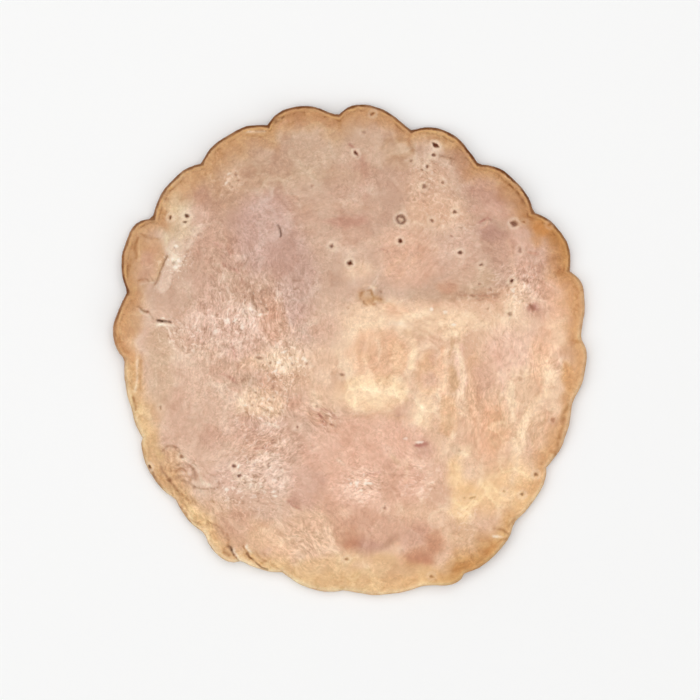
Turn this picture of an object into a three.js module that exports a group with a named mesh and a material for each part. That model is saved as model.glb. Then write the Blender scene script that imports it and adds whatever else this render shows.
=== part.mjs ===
// One slice of honey roast turkey breast, cut across a log that was roasted in a net.
// The net's strands pressed notches into the rim, and the meat bulges between them.
// Millimetres, +Z up. The slice lies on its lower cut face, and the origin is on that face,
// under the middle of the slice's outline.

import * as THREE from "three";
import { mergeVertices } from "three/addons/utils/BufferGeometryUtils.js";

// The slice as a whole
const THICKNESS = 1.8;
const CORNER = 0.35; // how far the cut faces stop short of the skin, as the corner is rounded
const ROUND_RADIUS = 52.5; // of the circle that the slice would be without the net's notches
const NOTCH_POWER = 3; // how fast the notches fade inwards, as a power of the share of the radius
const SEGMENTS_PER_BULGE = 10;
const MERGE_DISTANCE = 1e-4;

// Notches of the net, anticlockwise from +X. at is the notch's angle in degrees and radius its
// distance from the middle. The bulge that follows stands out past the straight way to the next
// notch, and is fullest at the share crest of its width.
const BULGES = [
  { at: 2.5, radius: 50.6, bulge: 1.8, crest: 0.66 },
  { at: 19.8, radius: 51.1, bulge: 2.3, crest: 0.5 },
  { at: 37, radius: 50.1, bulge: 2.0, crest: 0.52 },
  { at: 55.5, radius: 49.5, bulge: 2.7, crest: 0.6 },
  { at: 74.5, radius: 49.8, bulge: 2.9, crest: 0.6 },
  { at: 93, radius: 51.8, bulge: 2.6, crest: 0.62 },
  { at: 110.5, radius: 52.6, bulge: 1.9, crest: 0.5 },
  { at: 129, radius: 52.6, bulge: 1.8, crest: 0.46 },
  { at: 147, radius: 52.5, bulge: 3.3, crest: 0.4 },
  { at: 165.5, radius: 51.2, bulge: 2.1, crest: 0.62 },
  { at: 182.5, radius: 50.3, bulge: 0.3, crest: 0.5 },
  { at: 203, radius: 50.3, bulge: 1.5, crest: 0.42 },
  { at: 220.5, radius: 51.3, bulge: 0.4, crest: 0.6 },
  { at: 231, radius: 52.2, bulge: 1.8, crest: 0.6 },
  { at: 242.5, radius: 52.8, bulge: 0.5, crest: 0.5 },
  { at: 252.5, radius: 51.6, bulge: 1.2, crest: 0.5 },
  { at: 268, radius: 53.4, bulge: 0.8, crest: 0.6 },
  { at: 285.8, radius: 54.5, bulge: 1.4, crest: 0.72 },
  { at: 296.6, radius: 55.4, bulge: 1.5, crest: 0.55 },
  { at: 312.7, radius: 52.5, bulge: 1.0, crest: 0.62 },
  { at: 328.7, radius: 50.3, bulge: 0.8, crest: 0.4 },
  { at: 346.2, radius: 50.1, bulge: 1.5, crest: 0.62 },
];
const BULGE_FULLNESS = 2.4; // 2 is a plain arc, and more is flatter on top with steeper sides

// The torn skin's raggedness: waves round the rim, as turns per revolution, phase and height
const FRAY = [
  { turns: 29, phase: 0.7, height: 0.07 },
  { turns: 43, phase: 2.1, height: 0.05 },
  { turns: 61, phase: 4.0, height: 0.04 },
];

// Where the chilled, stiff rim stands off the table: the angle in degrees, how far to each side
// in degrees, and how high
const LIFTS = [
  { at: 118, spread: 30, height: 1.9 },
  { at: 174, spread: 16, height: 1.2 },
  { at: 48, spread: 17, height: 0.9 },
  { at: 238, spread: 13, height: 0.8 },
  { at: 301, spread: 15, height: 1.2 },
  { at: 350, spread: 12, height: 0.6 },
];
const FLAT_SHARE = 0.5; // within this share of the radius the slice lies flat

// Slow swells of the upper face, where one muscle was firmer under the knife than another
const SWELLS = [
  { alongX: 0.11, alongY: 0.05, phase: 0.4, height: 0.07 },
  { alongX: -0.06, alongY: 0.13, phase: 2.2, height: 0.06 },
  { alongX: 0.17, alongY: -0.12, phase: 5.1, height: 0.04 },
];

// Rings of the section from the middle of the lower face, round the skin, to the middle of the
// upper face: the share of the radius, and the share of the thickness
const FACE_RINGS = [0, 0.25, 0.45, 0.62, 0.76, 0.87, 0.94];
const SKIN_RINGS = [0.3, 0.7];

const radians = THREE.MathUtils.degToRad;
const smooth = (t) => THREE.MathUtils.smoothstep(t, 0, 1);

/** A bulge's width in degrees, up to the next notch. */
function bulgeWidth(index) {
  const next = BULGES[(index + 1) % BULGES.length];
  return THREE.MathUtils.euclideanModulo(next.at - BULGES[index].at, 360);
}

/** The skin's distance from the middle, at the share t of the bulge's width. */
function skinRadius(index, t) {
  const { at, radius, bulge, crest } = BULGES[index];
  const next = BULGES[(index + 1) % BULGES.length];
  const chord = THREE.MathUtils.lerp(radius, next.radius, t);
  const evened = t ** (Math.log(0.5) / Math.log(crest)); // brings the crest to one half
  const arc = 1 - Math.abs(2 * evened - 1) ** BULGE_FULLNESS;
  const angle = radians(at + t * bulgeWidth(index));
  const fray = FRAY.reduce((sum, w) => sum + w.height * Math.sin(w.turns * angle + w.phase), 0);
  return chord + bulge * arc + fray;
}

/** How far the slice's lower face stands off the table at a point. */
function liftAt(x, y) {
  const degrees = THREE.MathUtils.radToDeg(Math.atan2(y, x));
  const share = Math.hypot(x, y) / ROUND_RADIUS;
  const rise = smooth((share - FLAT_SHARE) / (1 - FLAT_SHARE));
  return LIFTS.reduce((sum, { at, spread, height }) => {
    const away = THREE.MathUtils.euclideanModulo(degrees - at + 180, 360) - 180;
    return sum + height * rise * Math.exp(-((away / spread) ** 2));
  }, 0);
}

/** The slice's thickness at a point of the upper face. */
function thicknessAt(x, y) {
  return SWELLS.reduce(
    (sum, s) => sum + s.height * Math.sin(s.alongX * x + s.alongY * y + s.phase),
    THICKNESS,
  );
}

/** The section's points, each as the share of the radius, what is left off it, and the layer. */
function section() {
  const lower = FACE_RINGS.map((share) => ({ share, inset: 0, layer: 0 }));
  const lowerCorner = { share: 1, inset: CORNER, layer: 0 };
  const skin = SKIN_RINGS.map((layer) => ({ share: 1, inset: 0, layer }));
  const upperCorner = { share: 1, inset: CORNER, layer: 1 };
  const upper = FACE_RINGS.map((share) => ({ share, inset: 0, layer: 1 })).reverse();
  return [...lower, lowerCorner, ...skin, upperCorner, ...upper];
}

/** The slice: a lathe turned once round, then drawn out to the notched skin and lifted rim. */
function sliceGeometry() {
  const rings = section();
  const segments = BULGES.length * SEGMENTS_PER_BULGE;
  const profile = rings.map(({ share, layer }) => new THREE.Vector2(share, layer));
  const geometry = new THREE.LatheGeometry(profile, segments);
  const position = geometry.getAttribute("position");

  for (let n = 0; n < position.count; n++) {
    const segment = Math.floor(n / rings.length) % segments;
    const { share, inset, layer } = rings[n % rings.length];
    const index = Math.floor(segment / SEGMENTS_PER_BULGE);
    const t = (segment % SEGMENTS_PER_BULGE) / SEGMENTS_PER_BULGE;
    const angle = radians(BULGES[index].at + t * bulgeWidth(index));
    const notched = share ** NOTCH_POWER;
    const outline = THREE.MathUtils.lerp(ROUND_RADIUS, skinRadius(index, t), notched);
    const x = (share * outline - inset) * Math.cos(angle);
    const y = (share * outline - inset) * Math.sin(angle);
    position.setXYZ(n, x, y, liftAt(x, y) + layer * thicknessAt(x, y));
  }

  geometry.deleteAttribute("normal");
  geometry.deleteAttribute("uv");
  const closed = mergeVertices(geometry, MERGE_DISTANCE);
  closed.computeBoundingBox();
  const middle = closed.boundingBox.getCenter(new THREE.Vector3());
  closed.translate(-middle.x, -middle.y, 0);
  closed.computeVertexNormals();
  return closed;
}

const meat = new THREE.MeshStandardMaterial({ color: "#dcb395", roughness: 0.45, metalness: 0 });

const slice = new THREE.Mesh(sliceGeometry(), meat);
slice.name = "turkey_slice";

const group = new THREE.Group();
group.add(slice);

export default group;
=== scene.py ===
"""One slice of honey roast turkey breast, lying on a pale table under soft light.

The slice was cut across a log of breast meat that was tied in a net and roasted with honey. The
net's strands left notches in the rim, and the meat bulges between them. The meat's tones, pores,
creases and torn skin are laid over the slice one by one, in millimetres from the middle of its
outline, and its fibres, painted glints and honey stains come from the materials. Some tones and
creases hold painted shade, and the glints are painted highlights.
"""

import logging
import math
from collections.abc import Callable
from dataclasses import astuple, dataclass
from enum import Enum

import bpy
import numpy as np
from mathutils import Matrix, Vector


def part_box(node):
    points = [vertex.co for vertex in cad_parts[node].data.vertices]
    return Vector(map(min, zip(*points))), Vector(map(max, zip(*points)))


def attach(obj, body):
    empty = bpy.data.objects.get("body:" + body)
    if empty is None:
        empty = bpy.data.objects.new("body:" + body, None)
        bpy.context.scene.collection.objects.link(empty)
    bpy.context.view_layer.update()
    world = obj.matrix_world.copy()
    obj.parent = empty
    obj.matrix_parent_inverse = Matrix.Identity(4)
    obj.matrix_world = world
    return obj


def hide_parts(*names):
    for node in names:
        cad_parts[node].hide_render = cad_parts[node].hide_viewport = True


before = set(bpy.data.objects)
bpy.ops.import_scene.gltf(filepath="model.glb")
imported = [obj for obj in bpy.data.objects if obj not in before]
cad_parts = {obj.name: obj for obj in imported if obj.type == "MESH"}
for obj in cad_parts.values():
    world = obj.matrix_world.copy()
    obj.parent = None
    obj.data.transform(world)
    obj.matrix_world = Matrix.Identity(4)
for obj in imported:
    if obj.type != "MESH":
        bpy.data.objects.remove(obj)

MM = 0.001
TINY = 1e-6  # keeps a share from being nothing
UPPER_FACE = 0.99  # the share of the blank's height above which its upper face is
DEPTH_UNIT = 10.0  # millimetres in from the skin that the attribute skin holds as 1
NODE = "turkey_slice"
BODY = "root"

log = logging.getLogger("turkey_slice")

Points = np.ndarray  # places on the slice: a row of X and a row of Y, in millimetres
Colour = tuple[float, float, float]  # red, green and blue
Socket = bpy.types.NodeSocket


class Unevenness:
    """Smooth unevenness over the slice's plane, the same on each run."""

    CELLS = 256
    REACH = 1.5  # brings the hills and hollows to about one either way

    def __init__(self, seed: int) -> None:
        """Draws the slopes at the cells' corners.

        Args:
            seed: Which of the many possible surfaces this one is.
        """
        draw = np.random.default_rng(seed)
        self.shuffle = draw.permutation(self.CELLS)
        turns = draw.uniform(0, 2 * np.pi, self.CELLS)
        self.slope_x = np.cos(turns)
        self.slope_y = np.sin(turns)

    def _corner(self, cell: np.ndarray, away: np.ndarray, right: int, up: int) -> np.ndarray:
        """What one corner of the points' cells adds.

        Args:
            cell: The cells' columns and rows.
            away: How far the points are from their cells' lower left corners, in cells.
            right: 1 for the right corners, and 0 for the left ones.
            up: 1 for the upper corners, and 0 for the lower ones.

        Returns:
            The height of the corner's slope at each point.
        """
        column = self.shuffle[(cell[0] + right) % self.CELLS]
        pick = self.shuffle[(column + cell[1] + up) % self.CELLS]
        return self.slope_x[pick] * (away[0] - right) + self.slope_y[pick] * (away[1] - up)

    def at(self, points: Points, size: float) -> np.ndarray:
        """The unevenness at points.

        Args:
            points: Places on the slice.
            size: How wide its hills and hollows are, in millimetres.

        Returns:
            Heights from about -1 to 1.
        """
        scaled = points / size
        cell = np.floor(scaled).astype(int)
        away = scaled - cell
        ease = away**3 * (away * (away * 6 - 15) + 10)
        edges = []
        for up in (0, 1):
            left = self._corner(cell, away, 0, up)
            right = self._corner(cell, away, 1, up)
            edges.append(left + ease[0] * (right - left))
        low, high = edges
        return self.REACH * (low + ease[1] * (high - low))

    def rough(self, points: Points, size: float, layers: int) -> np.ndarray:
        """Unevenness with finer layers on top, each half as wide and half as high."""
        return sum(self.at(points, size / 2**n) / 2**n for n in range(layers))


@dataclass(frozen=True)
class Wobble:
    """How high and how wide some unevenness is, in millimetres, and of how many layers."""

    height: float
    size: float
    layers: int

    def of(self, surface: Unevenness, points: Points) -> np.ndarray:
        """The heights of a surface's unevenness at points."""
        return self.height * surface.rough(points, self.size, self.layers)

    def sway(self, surfaces: tuple[Unevenness, Unevenness], points: Points) -> Points:
        """How far points are moved along X and along Y, by a surface for each."""
        return np.stack([self.of(surface, points) for surface in surfaces])


def smooth(share: np.ndarray) -> np.ndarray:
    """An ease from 0 to 1 as share goes from 0 to 1."""
    share = np.clip(share, 0, 1)
    return share * share * (3 - 2 * share)


def daylight(rgb: Colour) -> Colour:
    """A colour on the screen's scale of 0 to 255, as the share of light that it gives back."""
    return tuple(float(channel) for channel in linear(np.array(rgb, float)))


def linear(rgb: np.ndarray) -> np.ndarray:
    """Colours on the screen's scale of 0 to 255, as shares of light."""
    share = np.clip(rgb / 255, 0, 1)
    return np.where(share <= 0.04045, share / 12.92, ((share + 0.055) / 1.055) ** 2.4)


class Tone(Enum):
    """The tones of the meat, its skin, and the painted shade and highlights by its creases, on the
    screen's scale of 0 to 255.
    """

    SAND = (230, 191, 161)
    BEIGE = (219, 182, 158)
    MAUVE_GREY = (206, 170, 147)
    MAUVE = (204, 164, 141)
    LILAC = (207, 171, 156)
    DUSK = (199, 161, 144)
    GREY_CREAM = (208, 173, 144)
    OAT = (201, 166, 140)
    PARCHMENT = (224, 199, 167)
    SALMON = (218, 173, 147)
    ROSE = (199, 152, 131)
    WINE = (172, 112, 98)
    PINK = (232, 187, 162)
    PALE_PINK = (236, 195, 171)
    BLUSH = (217, 175, 153)
    PEACH = (235, 187, 153)
    CREAM = (243, 210, 177)
    BRIGHT = (250, 218, 183)
    BUTTER = (247, 207, 158)
    TAN = (212, 169, 133)
    RUST = (204, 151, 120)
    RUSSET = (216, 163, 120)
    FLESH = (230, 184, 147)
    # a pale tone of the meat, and painted highlights beside creases
    SHELL = (232, 207, 183)
    VEIL = (221, 189, 167)
    # painted highlight
    GLINT = (252, 234, 212)
    HONEY = (223, 182, 136)
    STRAW = (236, 192, 140)
    ORANGE = (213, 161, 114)
    TOFFEE = (202, 155, 113)
    CARAMEL = (204, 152, 98)
    FLAX = (230, 188, 142)
    AMBER = (197, 148, 105)
    TAUPE = (197, 158, 130)
    COCOA = (188, 144, 118)
    HEATHER = (190, 147, 129)
    EMBER = (204, 140, 84)
    BRICK = (188, 122, 94)
    PEARL = (228, 193, 173)
    OLIVE = (196, 160, 96)
    BROWN = (189, 133, 83)
    BARK = (158, 108, 68)
    # the meat's own dark brown, and painted shade along creases and tears
    UMBER = (128, 86, 60)
    # painted shade in slits and tears
    SLIT_SHADE = (86, 58, 44)


def each(kind: type, *rows: tuple) -> tuple:
    """One thing of a kind for each row, which holds its fields in their order."""
    return tuple(kind(*row) for row in rows)


def aside(points: Points, far: np.ndarray | float) -> Points:
    """Points moved along X."""
    return np.stack([points[0] + far, points[1]])


def on_turned_axes(
    points: Points, middle: tuple[float, float], degrees: float
) -> tuple[np.ndarray, np.ndarray]:
    """Where points are on axes that are turned about a middle.

    Args:
        points: Places on the slice.
        middle: What the axes are turned about.
        degrees: How far they are turned, anticlockwise.

    Returns:
        How far along and how far across the turned X axis the points are.
    """
    turn = math.radians(degrees)
    x = points[0] - middle[0]
    y = points[1] - middle[1]
    along = x * math.cos(turn) + y * math.sin(turn)
    across = y * math.cos(turn) - x * math.sin(turn)
    return along, across


def beside_line(
    points: Points, start: tuple[float, float], end: tuple[float, float]
) -> tuple[np.ndarray, np.ndarray, float]:
    """Where points are beside a straight line.

    Args:
        points: Places on the slice.
        start: Where the line starts.
        end: Where it ends.

    Returns:
        The share of the line's way that they have passed, how far off to its left they are, and
        the line's length.
    """
    long_x = end[0] - start[0]
    long_y = end[1] - start[1]
    x = points[0] - start[0]
    y = points[1] - start[1]
    length = math.hypot(long_x, long_y)
    return (x * long_x + y * long_y) / length**2, (y * long_x - x * long_y) / length, length


def lay_over(colour: np.ndarray, tone: Tone, cover: np.ndarray) -> None:
    """Lays a tone over rows of red, green and blue, as much as the cover says for each."""
    colour += cover[:, None] * (np.array(tone.value) - colour)


@dataclass(frozen=True)
class Patch:
    """A blot of one tone: an ellipse with a soft edge, in millimetres and degrees."""

    x: float
    y: float
    wide: float  # from its middle to its end
    tall: float
    turn: float
    tone: Tone
    strength: float
    soft: float  # half the width of its edge

    def cover(self, points: Points) -> np.ndarray:
        """How much of the meat's own tone the patch hides.

        Args:
            points: Places on the slice.

        Returns:
            Shares from 0, outside, to the patch's strength.
        """
        along, across = on_turned_axes(points, (self.x, self.y), self.turn)
        share = np.hypot(along / self.wide, across / self.tall) + TINY
        inside = np.hypot(along, across) * (1 / share - 1)
        return self.strength * smooth(0.5 + 0.5 * inside / self.soft)


# Painted shade: the grey band over the top and the beige and mauve stretch on the left are darker and
# cooler, as meat is where more meat lies under it; the blush on the right is the meat's own tone.
BROAD_TONES_AND_SHADE = each(
    Patch,
    (-27, -8, 27, 36, 0, Tone.BEIGE, 1, 7),
    (0, 46, 90, 35, 0, Tone.MAUVE_GREY, 1, 1.8),
    (44, 14, 9, 16, 0, Tone.BLUSH, 0.7, 5),
    (-27, 20, 22, 18, 0, Tone.MAUVE, 0.6, 6),
)
UPPER_TONES = each(
    Patch,
    (-9, 43, 19, 7, 0, Tone.OAT, 0.7, 4),
    (-27, 38, 9, 7, -20, Tone.TAUPE, 0.85, 3),
    (-26.2, 38, 1.8, 3.2, -10, Tone.SAND, 0.45, 1.4),
    (-33, 34.4, 2.6, 2.4, 0, Tone.ROSE, 0.4, 1.6),
    (-19, 26, 7, 9, 0, Tone.LILAC, 0.9, 3),
    (-12, 16, 4.6, 10, 0, Tone.DUSK, 0.9, 2.6),
    (-35, 15, 9.5, 6, 0, Tone.MAUVE_GREY, 0.85, 3),
    (-31, 23.5, 5, 5, 0, Tone.MAUVE, 0.9, 2.4),
    (-30, 12, 3, 3, 0, Tone.PEARL, 0.35, 2),
    (-33.2, 14.8, 2.8, 2.2, 0, Tone.PEARL, 0.45, 1.6),
    (-32, 24, 2.4, 3, 0, Tone.ROSE, 0.3, 1.6),
    (-26.4, 19.6, 3.4, 1.2, -48, Tone.HEATHER, 0.35, 1.1),
    (1, 33, 5, 12, 0, Tone.MAUVE, 0.6, 3),
    (1, 23.6, 5, 3.4, 0, Tone.BEIGE, 0.6, 2),
    (8, 35, 7, 4.4, 0, Tone.MAUVE_GREY, 0.7, 3),
    (-5, 10.6, 5, 3, 0, Tone.MAUVE_GREY, 0.4, 2),
    (-1, 28.3, 5, 1.2, 2, Tone.ROSE, 0.8, 1.2),
    (2.5, 38, 1.4, 5, 8, Tone.ROSE, 0.35, 1.4),
    (10.7, 43.3, 3.4, 3.2, 0, Tone.GREY_CREAM, 0.75, 1.2),
    (5.6, 42.6, 2, 3, 0, Tone.BEIGE, 0.4, 1.6),
    (13, 20, 7, 6.5, 0, Tone.SALMON, 0.9, 2.4),
    (12.5, 25, 5, 2.4, -8, Tone.SALMON, 0.6, 2),
    (2, 17.4, 3.4, 2.2, 0, Tone.SAND, 0.8, 1.8),
    (0.4, 13, 3.2, 1.8, 0, Tone.BEIGE, 0.6, 1.4),
    (17, 37, 5.5, 4.6, 0, Tone.SAND, 0.5, 3),
    (19, 30, 7.5, 4, 0, Tone.SAND, 0.8, 2.6),
    (24.6, 41.6, 4.4, 1.9, -40, Tone.COCOA, 0.85, 1.3),
    (29.4, 36.4, 8, 3.4, -52, Tone.ROSE, 0.75, 2),
    (33.5, 30.2, 7, 1.5, -8, Tone.BLUSH, 0.75, 1.2),
    (24, 22, 5, 6, 0, Tone.BLUSH, 0.6, 3),
    (31.8, 25.4, 4.4, 2.2, -28, Tone.HEATHER, 0.85, 1.1),
    (33, 21, 3.2, 4, -10, Tone.MAUVE, 0.7, 1.6),
    (27.6, 15.8, 4.6, 3.2, 0, Tone.GREY_CREAM, 0.75, 1.1),
    (24.6, 18, 3, 4, 0, Tone.BEIGE, 0.75, 1.6),
    (37, 19, 3, 10, 0, Tone.BLUSH, 0.8, 3),
    (36.6, 11.6, 2.6, 3.2, 0, Tone.CREAM, 0.55, 1.6),
    (21.8, 13.6, 2.6, 1.7, -10, Tone.RUST, 0.6, 1.1),
    (17, 12.2, 5, 1.5, 0, Tone.OAT, 0.6, 1.2),
    (27, 12, 6.5, 1.2, -3, Tone.TAUPE, 0.75, 0.9),
    (28.6, 11.9, 4.4, 0.4, -4, Tone.COCOA, 0.5, 0.4),
    (46, 8, 4, 9, 0, Tone.PEACH, 0.8, 3),
    (43.5, 13, 2.4, 4, 20, Tone.SALMON, 0.5, 2),
    (42.4, 8.4, 2.2, 1.8, -20, Tone.ROSE, 0.45, 1.2),
    (40.5, 9.3, 1, 0.8, -30, Tone.WINE, 0.75, 0.7),
)
MIDDLE_TONES = each(
    Patch,
    (3, 7, 6, 3, 0, Tone.CREAM, 0.65, 1.8),
    (10, 8.6, 3.4, 1.4, -10, Tone.PEACH, 0.7, 1.2),
    (20, 6, 10, 3, 0, Tone.CREAM, 0.9, 1.8),
    (23, 6.6, 4, 2, 0, Tone.BRIGHT, 0.55, 1.4),
    (23.6, 4.4, 1.2, 2.2, 15, Tone.BRIGHT, 0.8, 1),
    (35, 6.5, 5, 4, 0, Tone.CREAM, 0.5, 2),
    (35, 0, 5, 5, 0, Tone.PALE_PINK, 0.85, 2.5),
    (5, -1.5, 10, 9, 0, Tone.CREAM, 0.6, 3),
    (6.2, -1, 6.8, 5.6, 0, Tone.PEACH, 0.65, 0.9),
    (3.2, 0.6, 2, 3.4, 0, Tone.FLESH, 0.5, 0.9),
    (3.2, 1, 1.1, 1.9, 0, Tone.SALMON, 0.35, 0.9),
    (10.2, -1.4, 1.9, 4.4, 8, Tone.FLESH, 0.7, 0.8),
    (6.1, -0.4, 0.45, 3.6, 0, Tone.CREAM, 0.75, 0.5),
    (8.2, -6, 1.8, 0.8, 18, Tone.TAN, 0.5, 0.8),
    (14.4, 3.6, 2.6, 2.4, 0, Tone.GREY_CREAM, 0.2, 1.2),
    (12.2, 4.2, 1, 0.7, 0, Tone.TAN, 0.5, 0.6),
    (4.5, -9.6, 7.6, 3.6, 4, Tone.BUTTER, 0.55, 2.2),
    (5, -9.8, 6.4, 2.8, 4, Tone.BRIGHT, 0.75, 2.2),
    (13.6, -1.4, 0.9, 4.2, -6, Tone.BRIGHT, 0.9, 0.8),
    (17.2, -5.2, 2.4, 4.4, 0, Tone.FLESH, 0.9, 1.2),
    (17.4, -6.4, 1.9, 1.7, 0, Tone.SALMON, 0.85, 0.9),
    (19.2, -2.4, 1, 1.6, 0, Tone.SALMON, 0.5, 0.8),
    (11.6, -13.4, 2.3, 1.7, -20, Tone.SALMON, 0.65, 0.9),
    (10.6, -14.4, 1, 0.7, 20, Tone.ROSE, 0.5, 0.7),
    (16.4, -13.6, 2, 4.2, -6, Tone.BRIGHT, 0.75, 1.5),
    (6, -14.8, 6, 0.9, 0, Tone.TAN, 0.5, 0.9),
)
RIGHT_TONES = each(
    Patch,
    (20.6, -5, 1.2, 6, 0, Tone.PEACH, 0.8, 1),
    (22.5, -6, 0.9, 3, 0, Tone.TAN, 0.95, 0.7),
    (22.4, 1, 0.4, 2.6, 0, Tone.TAN, 0.7, 0.5),
    (22.2, 5, 1.5, 0.3, -10, Tone.TAN, 0.5, 0.4),
    (24.7, -4, 0.9, 5.6, 3, Tone.PALE_PINK, 0.9, 0.6),
    (22, -14.2, 2.2, 4.6, 0, Tone.FLESH, 0.95, 0.9),
    (21.8, -15.8, 0.7, 2.6, -6, Tone.TAN, 0.8, 0.8),
    (27.4, -9, 1.6, 8, 2, Tone.FLESH, 0.5, 1),
    (29.4, -6.4, 2.4, 3.6, 0, Tone.SALMON, 0.75, 1.4),
    (33.4, -6, 1.4, 3.6, 0, Tone.PALE_PINK, 0.6, 1),
    (31, -18, 5, 7, 0, Tone.PEACH, 0.9, 3),
    (32.4, -17.6, 2.2, 5, 0, Tone.FLESH, 0.8, 1.3),
    (33.8, -15.6, 1.2, 1.4, 0, Tone.TAN, 0.5, 0.9),
    (35.8, -12, 1.2, 5, 0, Tone.CREAM, 0.45, 1),
    (38.2, -9, 2.2, 5, 0, Tone.CREAM, 0.55, 1.4),
    (42.4, -3, 2.8, 6, 5, Tone.PEACH, 0.8, 2),
    (46.6, 3.6, 2.2, 3.2, 0, Tone.CREAM, 0.6, 1.4),
    (44.4, -6, 1, 2.8, 0, Tone.CREAM, 0.5, 0.9),
    (45.2, -11, 1.4, 2.4, 10, Tone.CREAM, 0.6, 0.9),
    (43, -19, 2.9, 5.4, -16, Tone.FLESH, 0.6, 1.1),
    (44.8, -22, 1.4, 3, -20, Tone.RUSSET, 0.3, 1),
    (41.5, -11.5, 1.8, 2.2, 0, Tone.CREAM, 0.5, 1.2),
    (39.6, -8.4, 1.8, 2.8, 0, Tone.CREAM, 0.5, 1.3),
    (41.2, -15.8, 2.4, 2.6, 0, Tone.CREAM, 0.75, 1.2),
    (36.6, -19, 1.2, 3, 0, Tone.BRIGHT, 0.4, 1),
    (44.9, -15.8, 0.8, 1, 0, Tone.RUST, 0.85, 0.7),
    (48.2, -6, 1.5, 3.2, 6, Tone.EMBER, 0.6, 1),
    (38.2, -16.8, 1.1, 3.2, -14, Tone.BRIGHT, 0.95, 0.8),
    (37, -24, 1, 5, -8, Tone.BRIGHT, 0.8, 0.9),
    (24.6, -22.6, 1.6, 1.6, -20, Tone.BRIGHT, 0.85, 0.9),
    (22.8, -22, 0.9, 1.4, 20, Tone.GREY_CREAM, 0.6, 0.8),
    (23.2, -29, 2.4, 5, 0, Tone.BUTTER, 0.75, 1.4),
    (33, -30.5, 8, 4.4, 30, Tone.BUTTER, 0.75, 3),
    (26.6, -31.6, 2.4, 2.4, 0, Tone.STRAW, 0.7, 1.4),
    (24.4, -35.6, 2.6, 3, 0, Tone.BUTTER, 0.65, 1.4),
    (22, -39, 2, 2, 0, Tone.SAND, 0.7, 1.2),
    (25.6, -41.6, 4, 3, 30, Tone.TAN, 0.7, 1.4),
    (39.6, -30.6, 4.2, 2, 48, Tone.BUTTER, 0.5, 1.2),
)
LOWER_TONES = each(
    Patch,
    (4, -25, 15, 10.5, 0, Tone.PINK, 0.95, 2),
    (1, -18.4, 7, 2.6, 0, Tone.SALMON, 0.3, 1.6),
    (2.4, -31, 5, 5, 0, Tone.PALE_PINK, 0.75, 2.4),
    (8.4, -29.6, 2.4, 4.4, 0, Tone.SALMON, 0.7, 1.4),
    (8, -24, 3, 2.4, 0, Tone.PALE_PINK, 0.5, 1.4),
    (14.6, -29, 3.4, 4.6, 0, Tone.PALE_PINK, 0.45, 1.8),
    (19.2, -29.4, 2.8, 5, 0, Tone.SALMON, 0.7, 1.4),
    (-12, -22, 9, 6, 0, Tone.BLUSH, 0.4, 3),
    (-9.6, -30.2, 4.2, 4.6, 0, Tone.BLUSH, 0.95, 0.9),
    (-12.2, -33.8, 1.6, 0.9, -35, Tone.ROSE, 0.6, 0.8),
    (-5.6, -33, 2.2, 3.2, 20, Tone.SALMON, 0.5, 1.2),
    (-3.4, -37, 1.8, 4, 30, Tone.SALMON, 0.6, 1),
    (16.6, -22, 1.8, 1.8, 0, Tone.ROSE, 0.55, 1),
    (15.8, -20.9, 1.4, 0.5, 0, Tone.WINE, 0.6, 0.5),
    (5, -39, 7, 4.4, 0, Tone.SALMON, 0.95, 1.8),
    (4.6, -43.6, 3.6, 1.9, 0, Tone.ROSE, 0.8, 1.2),
    (-0.2, -41.8, 2.3, 3.2, -14, Tone.RUST, 0.5, 1.5),
    (0.4, -43.1, 1.5, 1.3, -20, Tone.BRICK, 0.35, 1),
    (9.2, -41.8, 1.9, 1, 35, Tone.COCOA, 0.7, 0.9),
    (14.6, -41, 4.4, 3.2, 0, Tone.SALMON, 0.95, 1.8),
    (14, -41.4, 3, 2.2, 0, Tone.ROSE, 0.35, 1.6),
    (18.4, -42.6, 2, 3, -20, Tone.RUST, 0.85, 1.3),
    (15, -46.3, 4, 2.2, -5, Tone.RUST, 0.9, 1.1),
    (15.4, -46.6, 2.6, 1.4, -5, Tone.BRICK, 0.5, 1),
    (-9.2, -39.8, 4.4, 4.2, 40, Tone.SAND, 0.9, 1.1),
    (-7.6, -44.6, 3.2, 1.8, -30, Tone.SAND, 0.7, 1.2),
    (-17.6, -42, 6, 3.2, -40, Tone.FLESH, 0.6, 2),
    (-18.4, -44.6, 1.5, 0.9, 10, Tone.SALMON, 0.7, 0.8),
    (7.6, -46.4, 2.6, 1.8, 0, Tone.SAND, 0.6, 0.9),
    (3, -48.5, 15, 3.6, 0, Tone.HONEY, 0.7, 2.2),
    (2.6, -47.4, 2.2, 1.2, 0, Tone.SAND, 0.5, 0.9),
)
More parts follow.
